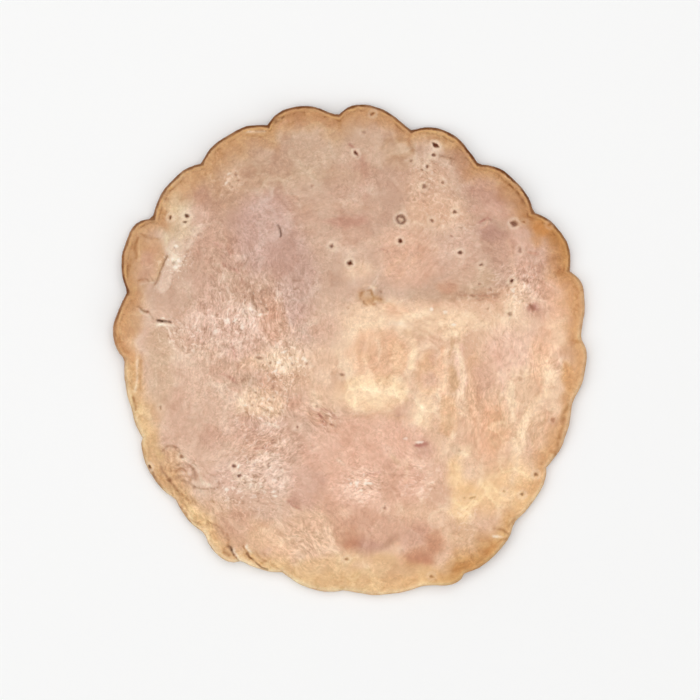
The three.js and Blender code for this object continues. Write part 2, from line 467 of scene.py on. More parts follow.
LEFT_TONES = each(
    Patch,
    (-42, -4, 3, 9, 0, Tone.GREY_CREAM, 0.65, 2),
    (-19.6, -12, 5.4, 3.6, 0, Tone.CREAM, 0.7, 1.6),
    (-22.8, -2.4, 2.2, 2.6, 0, Tone.SAND, 0.6, 1),
    (-16, -2.5, 6, 2.6, 0, Tone.CREAM, 0.55, 1.8),
    (-13, -6.6, 5, 2.8, 0, Tone.CREAM, 0.4, 1.8),
    (-17.4, -7.4, 2.2, 2.6, 0, Tone.SALMON, 0.45, 1.2),
    (-22.4, -7.2, 1.7, 1.4, 0, Tone.OAT, 0.85, 0.6),
    (-27, 5.6, 10, 4.6, 0, Tone.PEARL, 0.9, 2.6),
    (-24.5, 0.2, 3.6, 2.2, 0, Tone.PEARL, 0.8, 1.4),
    (-16.4, 6.4, 3.6, 4.6, 0, Tone.SALMON, 0.8, 1.8),
    (-13.4, 8.4, 1.2, 3.2, 8, Tone.DUSK, 0.8, 0.9),
    (-10.6, 4, 3, 2.4, 0, Tone.DUSK, 0.45, 1.4),
    (-4.6, 5.4, 3.6, 4, 0, Tone.BEIGE, 0.5, 2.4),
    (-7, -5, 5, 5.4, 0, Tone.SAND, 0.75, 2.6),
    (-5.4, -11, 4, 2.8, 0, Tone.CREAM, 0.55, 1.6),
    (-11, -12, 2.6, 1.6, 0, Tone.SALMON, 0.8, 1),
    (-6.4, -15.2, 3.6, 1.5, -25, Tone.RUST, 0.4, 1),
    (-24, -17.6, 4.6, 3, 0, Tone.BLUSH, 0.6, 1.8),
    (-18.4, -16.4, 4.4, 2, 0, Tone.PEARL, 0.7, 1.4),
    (-20.5, -21.2, 3.2, 1.8, 0, Tone.SALMON, 0.55, 1.2),
    (-30.6, -20, 2, 3, 10, Tone.ROSE, 0.35, 1.4),
    (-23, -28, 8, 4.2, 0, Tone.PEARL, 0.8, 2),
    (-21.6, -30, 3.4, 2, 0, Tone.SHELL, 0.5, 1.4),
    (-15.6, -28, 2.8, 4, 0, Tone.PEARL, 0.7, 1.4),
    (-39.4, -24.8, 2.8, 3.4, 15, Tone.TAN, 0.8, 1.2),
    (-38.4, -29.4, 2.4, 3.2, 42, Tone.AMBER, 0.55, 1.2),
    (-27, -39, 9, 4.4, -35, Tone.TAN, 0.5, 3),
    (-24.6, -38.6, 3, 3, -20, Tone.SALMON, 0.5, 1.4),
    (-33.6, -38.6, 5.5, 2.2, -48, Tone.STRAW, 0.8, 1.4),
    (-30.8, -43.4, 1.1, 0.9, 0, Tone.OLIVE, 0.8, 0.7),
    (-27.2, -45.8, 1.5, 0.8, -20, Tone.OLIVE, 0.8, 0.7),
    (-42.9, -21.6, 1.1, 3.2, 14, Tone.OLIVE, 0.4, 1),
    (-45.4, -21.6, 0.8, 2.2, 4, Tone.EMBER, 0.5, 0.8),
    (-38.2, 27.6, 3.2, 5.6, -14, Tone.PARCHMENT, 0.85, 1.6),
    (-33.4, 29.4, 2.4, 2.2, 0, Tone.PEARL, 0.6, 1.6),
    (-43.8, 19.6, 3, 5, -20, Tone.TAN, 0.9, 0.8),
    (-44.2, 21, 1.4, 2.6, -8, Tone.RUST, 0.4, 1),
    (-43.4, 13, 3, 2.6, 0, Tone.MAUVE_GREY, 0.8, 1.4),
    (-48.4, 6, 2.4, 4, -5, Tone.AMBER, 0.6, 1.4),
    (-48, -6, 2, 8, 3, Tone.FLAX, 0.6, 1.6),
    (-44, -15, 2, 5, 8, Tone.HONEY, 0.4, 2),
)
RIM_TONES = each(
    Patch,
    (42.2, 27.2, 1.9, 1.7, 0, Tone.EMBER, 0.75, 1),
    (41.4, 24.4, 1, 1.4, 10, Tone.EMBER, 0.35, 0.9),
    (25.4, -48.4, 3, 1, 12, Tone.EMBER, 0.5, 0.9),
    (30.6, -44, 1.6, 0.9, 35, Tone.EMBER, 0.5, 0.8),
    (-38.6, 32.4, 1.6, 2.2, -25, Tone.PARCHMENT, 0.45, 1.2),
    (24.5, 42, 3, 1.5, -40, Tone.COCOA, 0.55, 1),
    (48.4, 0.5, 1.2, 2.4, 0, Tone.AMBER, 0.35, 1.2),
    (-38, 22.6, 1.6, 3.6, -22, Tone.SHELL, 0.85, 1),
    (-37.2, 26.8, 2.3, 3.2, -20, Tone.PARCHMENT, 0.7, 1.2),
    (-45.2, 18.2, 1.6, 3.4, -8, Tone.ROSE, 0.5, 1.1),
    (-46.2, 23.4, 1.4, 1.8, 0, Tone.AMBER, 0.5, 1),
    (-30, 43, 2.6, 1.2, 38, Tone.AMBER, 0.4, 1),
)
MEAT_TONES = BROAD_TONES_AND_SHADE + UPPER_TONES + MIDDLE_TONES + RIGHT_TONES + LOWER_TONES + LEFT_TONES


@dataclass(frozen=True)
class Bulge:
    """The rim from one notch of the net to the next. Degrees, and millimetres."""

    at: float
    radius: float
    bulge: float
    crest: float


@dataclass(frozen=True)
class Wave:
    """One wave of the torn skin's raggedness, as turns per revolution, phase and height."""

    turns: int
    phase: float
    height: float


@dataclass(frozen=True)
class Outline:
    """The slice seen from above: the notches of the net, and the bulges between them."""

    fullness: float = 2.4
    steps: int = 10  # to a bulge, where the frame's own corners are
    bulges: tuple[Bulge, ...] = each(
        Bulge,
        (2.5, 50.6, 1.8, 0.66),
        (19.8, 51.1, 2.3, 0.5),
        (37, 50.1, 2, 0.52),
        (55.5, 49.5, 2.7, 0.6),
        (74.5, 49.8, 2.9, 0.6),
        (93, 51.8, 2.6, 0.62),
        (110.5, 52.6, 1.9, 0.5),
        (129, 52.6, 1.8, 0.46),
        (147, 52.5, 3.3, 0.4),
        (165.5, 51.2, 2.1, 0.62),
        (182.5, 50.3, 0.3, 0.5),
        (203, 50.3, 1.5, 0.42),
        (220.5, 51.3, 0.4, 0.6),
        (231, 52.2, 1.8, 0.6),
        (242.5, 52.8, 0.5, 0.5),
        (252.5, 51.6, 1.2, 0.5),
        (268, 53.4, 0.8, 0.6),
        (285.8, 54.5, 1.4, 0.72),
        (296.6, 55.4, 1.5, 0.55),
        (312.7, 52.5, 1, 0.62),
        (328.7, 50.3, 0.8, 0.4),
        (346.2, 50.1, 1.5, 0.62),
    )
    fray: tuple[Wave, ...] = (Wave(29, 0.7, 0.07), Wave(43, 2.1, 0.05), Wave(61, 4.0, 0.04))

    def radius(self, degrees: np.ndarray) -> np.ndarray:
        """The skin's distance from the middle of the log.

        Args:
            degrees: Angles from +X, anticlockwise.

        Returns:
            Millimetres.
        """
        starts, radii, heights, crests = np.array([astuple(bulge) for bulge in self.bulges]).T
        turned = (degrees - starts[0]) % 360 + starts[0]
        this = np.clip(np.searchsorted(starts, turned, side="right") - 1, 0, None)
        after = (this + 1) % len(starts)
        share = (turned - starts[this]) / ((starts[after] - starts[this]) % 360)
        chord = radii[this] + share * (radii[after] - radii[this])
        evened = share ** (math.log(0.5) / np.log(crests[this]))
        arc = 1 - np.abs(2 * evened - 1) ** self.fullness
        angle = np.radians(turned)
        fray = sum(wave.height * np.sin(wave.turns * angle + wave.phase) for wave in self.fray)
        return chord + heights[this] * arc + fray

    def middle(self) -> np.ndarray:
        """The middle of the outline's box.

        Returns:
            Its X and Y from the middle of the log, in millimetres.
        """
        starts = np.array([bulge.at for bulge in self.bulges])
        widths = (np.roll(starts, -1) - starts) % 360
        shares = np.arange(self.steps) / self.steps
        degrees = (starts[:, None] + widths[:, None] * shares).ravel()
        radius = self.radius(degrees)
        corners = np.stack([
            radius * np.cos(np.radians(degrees)),
            radius * np.sin(np.radians(degrees)),
        ])
        return (corners.min(1) + corners.max(1)) / 2


@dataclass(frozen=True)
class Rind:
    """The roasted skin's stain at one angle of the rim: how wide, of what tone and how dark."""

    at: float
    width: float  # over which it fades inwards
    tone: Tone
    strength: float
    line: float  # how dark the skin's edge is: roasted skin, with painted shade along it


RINDS = each(
    Rind,
    (2, 4, Tone.ORANGE, 1, 0.15),
    (14, 6, Tone.ORANGE, 1, 0.2),
    (24, 6, Tone.BROWN, 1, 0.6),
    (32, 6, Tone.BROWN, 1, 0.8),
    (41, 6, Tone.AMBER, 1, 1),
    (50, 5.5, Tone.AMBER, 1, 1),
    (62, 5, Tone.AMBER, 1, 1),
    (75, 3.6, Tone.AMBER, 0.95, 0.95),
    (90, 6.5, Tone.AMBER, 1, 0.9),
    (105, 6.5, Tone.AMBER, 1, 0.95),
    (120, 7, Tone.AMBER, 1, 0.9),
    (135, 8, Tone.TOFFEE, 0.9, 0.8),
    (150, 6, Tone.TOFFEE, 1, 0.8),
    (165, 5.5, Tone.AMBER, 1, 0.9),
    (178, 4.5, Tone.ORANGE, 1, 0.4),
    (190, 4.5, Tone.HONEY, 1, 0.1),
    (210, 5, Tone.HONEY, 1, 0.15),
    (228, 4.5, Tone.HONEY, 1, 0),
    (242, 4, Tone.FLAX, 1, 0),
    (258, 4.5, Tone.HONEY, 1, 0),
    (272, 5.5, Tone.HONEY, 1, 0),
    (285, 3, Tone.STRAW, 0.9, 0),
    (294, 6, Tone.CARAMEL, 1, 0.1),
    (304, 6, Tone.CARAMEL, 1, 0.15),
    (315, 4, Tone.STRAW, 0.9, 0.1),
    (330, 4.2, Tone.ORANGE, 0.9, 0.1),
    (346, 2.5, Tone.ORANGE, 0.9, 0.1),
)


@dataclass(frozen=True)
class Spot:
    """A small hole that steam or brine left, or a painted highlight where wet gel glints, in millimetres.
    """

    x: float
    y: float
    wide: float  # across
    tall: float
    turn: float = 0.0
    amount: float = 1.0
    ring: bool = False  # a round opening with meat left in its middle


PORES = each(
    Spot,
    (-39.6, 29.2, 0.5, 0.8, 0, 0.75), (-36, 29.6, 0.8, 0.6, 0, 0.9), (-36.4, 28.2, 0.8, 0.4, 0, 0.7),
    (18.9, 45.2, 1.5, 0.6, -35), (18.4, 43, 0.8, 0.5, 0, 0.7),
    (17, 40.5, 0.8, 0.6, 30, 0.7), (16, 39.7, 0.4, 0.4, 0, 0.5), (16.4, 36.1, 0.9, 0.7, 0, 0.6),
    (20.5, 37, 0.5, 0.5, 0, 0.5), (1.3, 43.4, 1.2, 0.5, -50, 0.9),
    (11.3, 28.8, 2.2, 2, -20, 0.7, True), (23.2, 30.4, 0.8, 0.6, -50, 0.75),
    (18, 28.6, 0.6, 0.6, 0, 0.6), (36.2, 27.9, 1.4, 1.1, 0, 0.75), (11.1, 24.1, 0.7, 0.8),
    (-4, 22.9, 0.8, 0.7, 0, 0.7), (0, 19.2, 0.9, 0.9), (24.3, 21.5, 0.8, 0.7, 0, 0.85),
    (29, 18.8, 0.8, 0.4, 10, 0.6), (35.7, 15.3, 0.7, 0.7), (35.3, 8, 0.9, 0.9, 0, 0.5),
    (37.5, 22, 0.8, 1.1, 0, 0.4), (-1.8, -5.5, 0.7, 0.7, 0, 0.5), (-20, -1.8, 1.4, 0.5, -15, 0.5),
    (-9.5, -3, 0.5, 0.5, 0, 0.45), (-25.6, -25.6, 0.7, 0.8, 0, 0.8), (-24.5, -27.8, 0.8, 0.6, 0, 0.75),
    (-4, -16.5, 0.7, 0.4, 0, 0.45), (-11.6, -17, 0.5, 0.5, 0, 0.5), (-18, -25.5, 0.5, 0.7, 0, 0.4),
    (41, -27.5, 0.8, 0.7, 0, 0.6), (38, -31.9, 0.7, 0.6, 0, 0.55), (34, -31.2, 0.5, 0.5, 0, 0.4),
    (27, -32.6, 1.3, 0.5, 20, 0.35), (18, -49.9, 0.9, 0.4, -20, 0.4), (-0.8, -46.2, 0.9, 0.4, 0, 0.5),
    (7.8, -35, 0.6, 0.6, 0, 0.4), (-44.2, -25.7, 0.5, 0.8, 30, 0.7), (-41.8, -12.8, 0.4, 0.9, 0, 0.4),
    (13.5, 41.6, 0.4, 0.4, 0, 0.35), (24.5, 27, 0.5, 0.4, 0, 0.3), (22.4, 25.1, 0.6, 0.5, 0, 0.3),
    (31, 13.4, 0.6, 0.5, 0, 0.4), (27, 11.9, 0.8, 0.4, 0, 0.3), (28.5, 14.6, 0.5, 0.5, 0, 0.3),
    (3, 48, 0.6, 0.6, 0, 0.3), (5, 52.1, 0.8, 0.5, 30, 0.5), (-8.4, 36.3, 0.5, 0.5, 0, 0.25),
    (-0.5, 9.1, 0.5, 0.5, 0, 0.3), (30.4, 9.1, 0.5, 0.5, 0, 0.35), (38.4, 28.2, 0.5, 0.4, 0, 0.3),
    (-26.5, 36.6, 0.4, 0.5, 0, 0.3), (-24.6, 37.4, 0.4, 0.4, 0, 0.3), (-38.7, 22.6, 0.4, 0.4, 0, 0.3),
    (-21, -25.3, 0.5, 0.7, 0, 0.35), (-18.4, -13.5, 0.5, 0.4, 0, 0.35), (25.2, -32.6, 0.5, 0.4, 0, 0.3),
    (44.8, -15.4, 0.9, 0.6, 60, 0.3), (-31, -43.6, 0.6, 0.5, 0, 0.4), (44, 27.6, 0.5, 0.5, 0, 0.3),
    (-38.9, 19.2, 0.8, 0.5, 0, 0.35), (-37.1, -23.6, 0.7, 0.7, 0, 0.4), (-33.2, 25.4, 1, 0.5, 0, 0.25),
    (32.4, -12.4, 0.5, 0.7, 0, 0.2), (33.6, -16.6, 0.6, 0.7, 0, 0.2),
    (37.6, -6.4, 0.6, 0.8, 0, 0.2),
    (24.2, -22.2, 0.7, 0.6, 0, 0.25), (35, -4.4, 0.5, 0.4, 0, 0.2),
    (-23.2, 8.4, 0.5, 0.9, 0, 0.3), (-21.6, 8.4, 0.5, 0.6, 0, 0.35), (-19.4, 8.6, 0.5, 0.8, 20, 0.35),
    (-12.8, -3.2, 0.5, 0.5, 0, 0.5), (-17.6, -2.8, 0.4, 0.4, 0, 0.4), (-15, -3.4, 0.4, 0.5, 0, 0.35),
    (-21.6, -12.2, 0.4, 0.4, 0, 0.35), (-20.8, -9.4, 0.5, 0.4, 0, 0.35), (-16.8, -10.4, 0.4, 0.4, 0, 0.3),
    (-7.4, -12.4, 0.5, 0.9, -10, 0.3), (8.4, -22.4, 0.4, 0.4, 0, 0.2), (-8, -21.4, 1.2, 0.5, 0, 0.2),
    (11.4, -44.4, 0.9, 0.7, 0, 0.2), (-26, 36, 0.5, 0.4, 0, 0.3), (-25.2, 38.6, 0.4, 0.6, 0, 0.3),
)
# Painted highlights: small wet glints, each also raised a little.
GLINTS = each(
    Spot,
    (-39.1, 20.1, 0.7, 0.6), (-37.9, 19.7, 0.7, 0.7), (-38.6, 18.3, 0.8, 0.8), (-38.4, 22.9, 0.7, 0.6),
    (-27, 6.5, 0.8, 1.2, 10, 0.9), (-25.4, 6.6, 1.1, 0.6, 30), (-22, 9.2, 1.1, 0.5, 10, 0.9),
    (-19.8, 7.8, 1, 0.5, 30, 0.9), (-23.8, 5, 0.7, 0.9, 0, 0.7), (-29.8, 4, 0.9, 1, 0, 0.6),
    (-24.6, -25.6, 0.5, 1, -15), (-27.3, -30.8, 0.9, 0.6, 20, 0.9), (-17, -31.3, 0.7, 0.6, 0, 0.9),
    (-16.5, -32.3, 0.8, 0.5, 0, 0.9), (1.5, -29.4, 0.9, 0.8, 30), (0.2, -29.6, 0.5, 0.9, 0, 0.8),
    (3.9, -29.5, 1.9, 0.5, -5, 0.9), (2.4, -31, 0.9, 0.5, 0, 0.8), (12.3, -19.6, 1, 0.5, 0, 0.6),
    (15.4, -20.4, 1.5, 0.5, 0, 0.9), (-10, -2, 0.6, 1.3, 30, 0.8), (-14.6, -0.4, 1.4, 0.5, 15, 0.8),
    (-15.8, -2.8, 0.9, 0.6, 0, 0.9), (-13.2, -1.9, 0.9, 0.5, -20, 0.7), (-16.4, -4.6, 0.8, 0.7, 20, 0.8),
    (-23, -12.2, 0.9, 0.5, 0, 0.7), (36, 12.9, 0.7, 0.6, 0, 0.7), (18, 9, 0.9, 0.8, 0, 0.9),
    (21, 8.3, 1, 0.6, 0, 0.7), (22.9, 5.6, 1.1, 0.6, 0, 0.8), (-41.2, 7, 0.7, 0.5, 0, 0.8),
    (-26.6, 38.8, 0.8, 0.5, 20, 0.6), (-27.2, 36.8, 0.5, 1, -20, 0.6),
)


@dataclass(frozen=True)
class Mark:
    """A crease, a ridge or a stain along a bowed line, in millimetres. Its tone is the meat's own,
    painted shade in a crease, or a painted highlight beside one.
    """

    from_x: float
    from_y: float
    to_x: float
    to_y: float
    bow: float  # how far the middle of the line stands off to the left of the straight way
    width: float
    depth: float  # less than nothing is a ridge
    tone: Tone | None = None
    strength: float = 0.0

    def reach(self, points: Points) -> np.ndarray:
        """How much of the mark there is at points.

        Args:
            points: Places on the slice.

        Returns:
            Shares from 0 to 1.
        """
        start = (self.from_x, self.from_y)
        along, across, length = beside_line(points, start, (self.to_x, self.to_y))
        held = np.clip(along, 0, 1)
        off = across - 4 * self.bow * held * (1 - held)
        past = (along - held) * length
        return np.exp(-(off**2 + past**2) / self.width**2)


# The dark lines are painted shade in the cracks, slits and grooves, also along the sliver's edges, and
# the GLINT and SHELL lines beside them are painted highlights; the wine, rose and brick lines are the
# meat's own.
CREASES = each(
    Mark,
    (-46.8, 9.8, -44.6, 8.4, -0.1, 0.24, 0.25, Tone.UMBER, 0.55),
    (-44.6, 8.4, -43.2, 6.8, 0.1, 0.22, 0.15, Tone.UMBER, 0.3),
    (-46.6, 9.2, -43.8, 7.2, -0.1, 0.32, -0.1, Tone.SHELL, 0.55),
    (-42.1, 6.45, -39.8, 6.2, 0.1, 0.26, 0.55, Tone.SLIT_SHADE, 0.85),
    (-42.3, 5.6, -39.4, 5.4, 0.1, 0.4, -0.1, Tone.GLINT, 0.8),
    (-42.8, 14.6, -41.8, 17.4, 0.1, 0.24, 0.2, Tone.UMBER, 0.5),
    (-41.8, 17.4, -40.3, 20.6, 0.1, 0.24, 0.2, Tone.UMBER, 0.5),
    (-39.8, 13.6, -38.4, 17.4, 0.1, 0.22, 0.15, Tone.UMBER, 0.2),
    (-37.6, 17.6, -35.4, 22.4, 0.1, 0.22, 0.15, Tone.UMBER, 0.2),
    (-46.6, 15.2, -45.6, 15.4, 0.1, 0.24, 0.12, Tone.BARK, 0.5),
    (-45.2, 15.6, -44.2, 15.2, 0.1, 0.22, 0.1, Tone.UMBER, 0.35),
    (-44.2, 16.4, -43.4, 15.4, 0.1, 0.22, 0.1, Tone.UMBER, 0.3),
    (-46, 14.4, -43.4, 14.9, 0.1, 0.26, -0.08, Tone.SHELL, 0.4),
    (-21.5, 14.6, -21.3, 11, 0.1, 0.24, 0.1, Tone.UMBER, 0.34),
    (-21.3, 11, -20.5, 8.4, 0.2, 0.24, 0.1, Tone.UMBER, 0.3),
    (-23.5, 12.6, -22.8, 6, 0.4, 0.24, 0.1, Tone.UMBER, 0.14),
    (-18.8, 13.6, -18.2, 8.6, -0.4, 0.24, 0.1, Tone.UMBER, 0.2),
    (-19.6, 5.6, -19.2, 3.8, 0.1, 0.26, 0.1, Tone.UMBER, 0.22),
    (-15, 6.2, -14.8, 4.6, 0.1, 0.26, 0.1, Tone.UMBER, 0.28),
    (-26.4, 1.6, -25, -3.6, 0.3, 0.26, 0.08, Tone.WINE, 0.25),
    (-28.6, -5.2, -25.2, -7.6, 0.2, 0.28, 0.08, Tone.WINE, 0.28),
    (-15.8, 27.5, -15.4, 25, 0, 0.24, 0.35, Tone.SLIT_SHADE, 0.75),
    (-12.6, 15.2, -11, 15, 0.1, 0.24, 0.08, Tone.UMBER, 0.25),
    (-12.4, 13.4, -10.8, 13.2, 0.1, 0.24, 0.08, Tone.UMBER, 0.3),
    (-29.6, 23.6, -26.6, 21.4, 0.4, 0.3, 0.06, Tone.WINE, 0.22),
    (-28, 19.2, -25.4, 17.6, -0.3, 0.34, 0.06, Tone.WINE, 0.3),
    (-25.4, 17.6, -23.8, 15, 0.3, 0.3, 0.06, Tone.WINE, 0.2),
    (0.2, 45.3, 1.2, 43.6, 0.2, 0.3, 0.1, Tone.WINE, 0.5),
    (1.4, 43.4, 3, 41, 0.2, 0.6, 0.05, Tone.ROSE, 0.5),
    (18.8, 43.2, 22.8, 42.2, 0.2, 0.26, 0.12, Tone.UMBER, 0.5),
    (28.5, 28, 29.4, 28.9, 0.1, 0.26, 0.08, Tone.WINE, 0.6),
    (29.6, 28.9, 31, 28.6, 0.3, 0.26, 0.08, Tone.WINE, 0.55),
    (28.6, 26.8, 30, 28.2, -0.3, 0.3, -0.06, Tone.PINK, 0.7),
    (6.8, 22.3, 8.6, 22, 0.1, 0.24, 0.08, Tone.WINE, 0.35),
    (24.6, 12, 32.4, 11.4, 0.3, 0.24, 0.06, Tone.BRICK, 0.22),
    (26.4, 10.8, 33, 10.6, 0.2, 0.24, 0.06, Tone.BRICK, 0.18),
    (39.8, 9.9, 40.8, 8.8, 0.1, 0.36, 0.15, Tone.UMBER, 0.4),
    (14.6, -21, 16.4, -20.8, -0.3, 0.26, 0.12, Tone.WINE, 0.65),
    (-8.9, -13.2, -6.2, -14.9, 0.2, 0.3, 0.12, Tone.WINE, 0.4),
    (-7, -13, -3, -15, 0.4, 0.28, 0.1, Tone.WINE, 0.38),
    (-6.4, -14.6, -4.6, -16.6, -0.3, 0.3, 0.1, Tone.WINE, 0.3),
    (-5, -15.2, -2.6, -16.8, 0.3, 0.26, -0.08, Tone.PALE_PINK, 0.5),
    (-19, -15.8, -16, -17.2, 0.3, 0.32, -0.08, Tone.GLINT, 0.6),
    (-24.4, -15.6, -23, -17.8, 0.3, 0.3, -0.08, Tone.PALE_PINK, 0.55),
    (-20.8, -21.8, -17.4, -22, 0.4, 0.28, 0.08, Tone.WINE, 0.3),
    (-18.6, -21, -17, -19.8, -0.3, 0.28, 0.08, Tone.WINE, 0.3),
    (-21, -23.4, -14, -20.6, -0.6, 0.28, 0.08, Tone.UMBER, 0.14),
    (-13.4, -33.2, -10.6, -35.2, -0.2, 0.4, 0.08, Tone.WINE, 0.3),
    (3.8, -27.6, 6.6, -26.8, 0.2, 0.3, 0.08, Tone.WINE, 0.35),
    (-2.6, -24.4, -1.4, -25.4, 0.1, 0.3, -0.08, Tone.GLINT, 0.45),
)
CURLS = each(
    Mark,
    (2.6, 12.2, 4.6, 11.2, 0, 1.1, 0.06, Tone.AMBER, 0.75),
    (5, 11, 6.4, 10.9, 0, 0.9, 0.06, Tone.AMBER, 0.7),
    (2.1, 11.4, 2.9, 12.6, 0.3, 0.3, 0.12, Tone.BARK, 0.6),
    (3.8, 12.9, 5, 12.5, 0.3, 0.28, 0.12, Tone.BARK, 0.55),
    (4.8, 12.5, 5.2, 11, 0.3, 0.26, 0.12, Tone.BARK, 0.45),
    (3, 10.9, 3.8, 10.2, -0.2, 0.28, 0.12, Tone.BARK, 0.55),
    (5.2, 10.2, 6, 10.5, -0.1, 0.3, 0.1, Tone.BARK, 0.55),
    (6.2, 11.2, 6.8, 11, 0.1, 0.3, 0.1, Tone.BARK, 0.6),
    (6.8, 12.8, 7.1, 12.5, 0, 0.26, 0.05, Tone.UMBER, 0.5),
    (7.2, 10.6, 9.6, 9.6, 0.4, 0.26, 0.05, Tone.TAN, 0.5),
    (3, 13.8, 5.8, 13.2, 0.4, 0.34, -0.05, Tone.CREAM, 0.45),
    (7.4, 45, 11.4, 46.6, 0.7, 0.8, 0.05, Tone.BARK, 0.3),
    (11.4, 46.6, 13.4, 44, 0.6, 0.8, 0.05, Tone.BARK, 0.3),
    (13.4, 44, 10.6, 42.2, 0.6, 0.7, 0.05, Tone.BARK, 0.26),
    (-41.4, -22.2, -38.6, -21.8, 0.8, 0.32, 0.12, Tone.UMBER, 0.3),
    (-38.6, -21.8, -37.4, -23.6, 0.2, 0.28, 0.12, Tone.UMBER, 0.28),
    (-39.6, -26.4, -36.8, -25, 0.3, 0.3, 0.12, Tone.UMBER, 0.3),
    (-36.8, -25, -34.6, -26.4, 0.4, 0.3, 0.12, Tone.UMBER, 0.36),
    (-34.6, -26.4, -34.2, -28.6, 0.2, 0.34, 0.12, Tone.UMBER, 0.36),
    (-39, -27.8, -37.4, -26.2, 0.3, 0.26, 0.1, Tone.BARK, 0.34),
    (-37.4, -26.2, -36, -27.4, 0.3, 0.26, 0.1, Tone.BARK, 0.34),
    (-36, -27.6, -35.4, -28.8, 0.1, 0.26, 0.1, Tone.BARK, 0.3),
    (-41.6, -25.8, -40, -28.6, -0.3, 0.34, 0.12, Tone.UMBER, 0.3),
    (-40.1, -28.7, -39.8, -28.8, 0, 0.45, 0.12, Tone.UMBER, 0.55),
    (-40, -28.8, -38.2, -31.2, 0.1, 0.34, 0.14, Tone.UMBER, 0.36),
    (-38.2, -31.2, -35.6, -33.4, 0.1, 0.32, 0.14, Tone.BARK, 0.4),
    (-37, -28.6, -34.4, -30.2, 0.2, 0.3, 0.12, Tone.UMBER, 0.3),
    (-34.4, -30.2, -29.6, -30.4, -0.4, 0.28, 0.1, Tone.UMBER, 0.38),
    (-37, -24, -34.2, -25.4, 0.3, 0.36, -0.1, Tone.SHELL, 0.6),
    (-34.2, -25.4, -33.2, -28.2, 0.2, 0.4, -0.1, Tone.SHELL, 0.6),
    (-33.2, -28.2, -31, -29.8, -0.3, 0.4, -0.1, Tone.SHELL, 0.5),
    (-31.6, -27.2, -29.2, -29.8, 0.6, 0.26, 0.08, Tone.UMBER, 0.2),
    (-34.6, -33.4, -34.2, -33.8, 0, 0.4, 0.08, Tone.BARK, 0.35),
    (-30.8, -33.3, -30.4, -33.6, 0, 0.4, 0.08, Tone.BARK, 0.35),
    (-31.4, -38, -31, -38.5, 0, 0.36, 0.08, Tone.BARK, 0.45),
    (-34.2, -39.2, -33.8, -39.8, 0, 0.36, 0.08, Tone.BARK, 0.45),
    (-36, -36.8, -32.4, -38.6, -0.4, 0.3, 0.08, Tone.BARK, 0.3),
    (-30.6, -38.6, -27.8, -40.4, 0.4, 0.28, 0.08, Tone.BARK, 0.25),
    (37.6, 18.8, 39.6, 16.6, 0.2, 0.3, -0.08, Tone.PALE_PINK, 0.6),
    (39.6, 16.6, 42.4, 15.8, -0.3, 0.3, -0.08, Tone.PALE_PINK, 0.5),
    (38.8, 14.4, 41, 12, 0.4, 0.3, -0.08, Tone.PALE_PINK, 0.5),
    (38, 6.6, 40, 8.8, -0.3, 0.32, -0.08, Tone.PALE_PINK, 0.55),
    (39.6, 21.6, 41.6, 20.8, 0.2, 0.28, 0.08, Tone.BRICK, 0.35),
    (39.8, 17.8, 42.6, 18.4, 0.3, 0.28, 0.08, Tone.BRICK, 0.2),
)
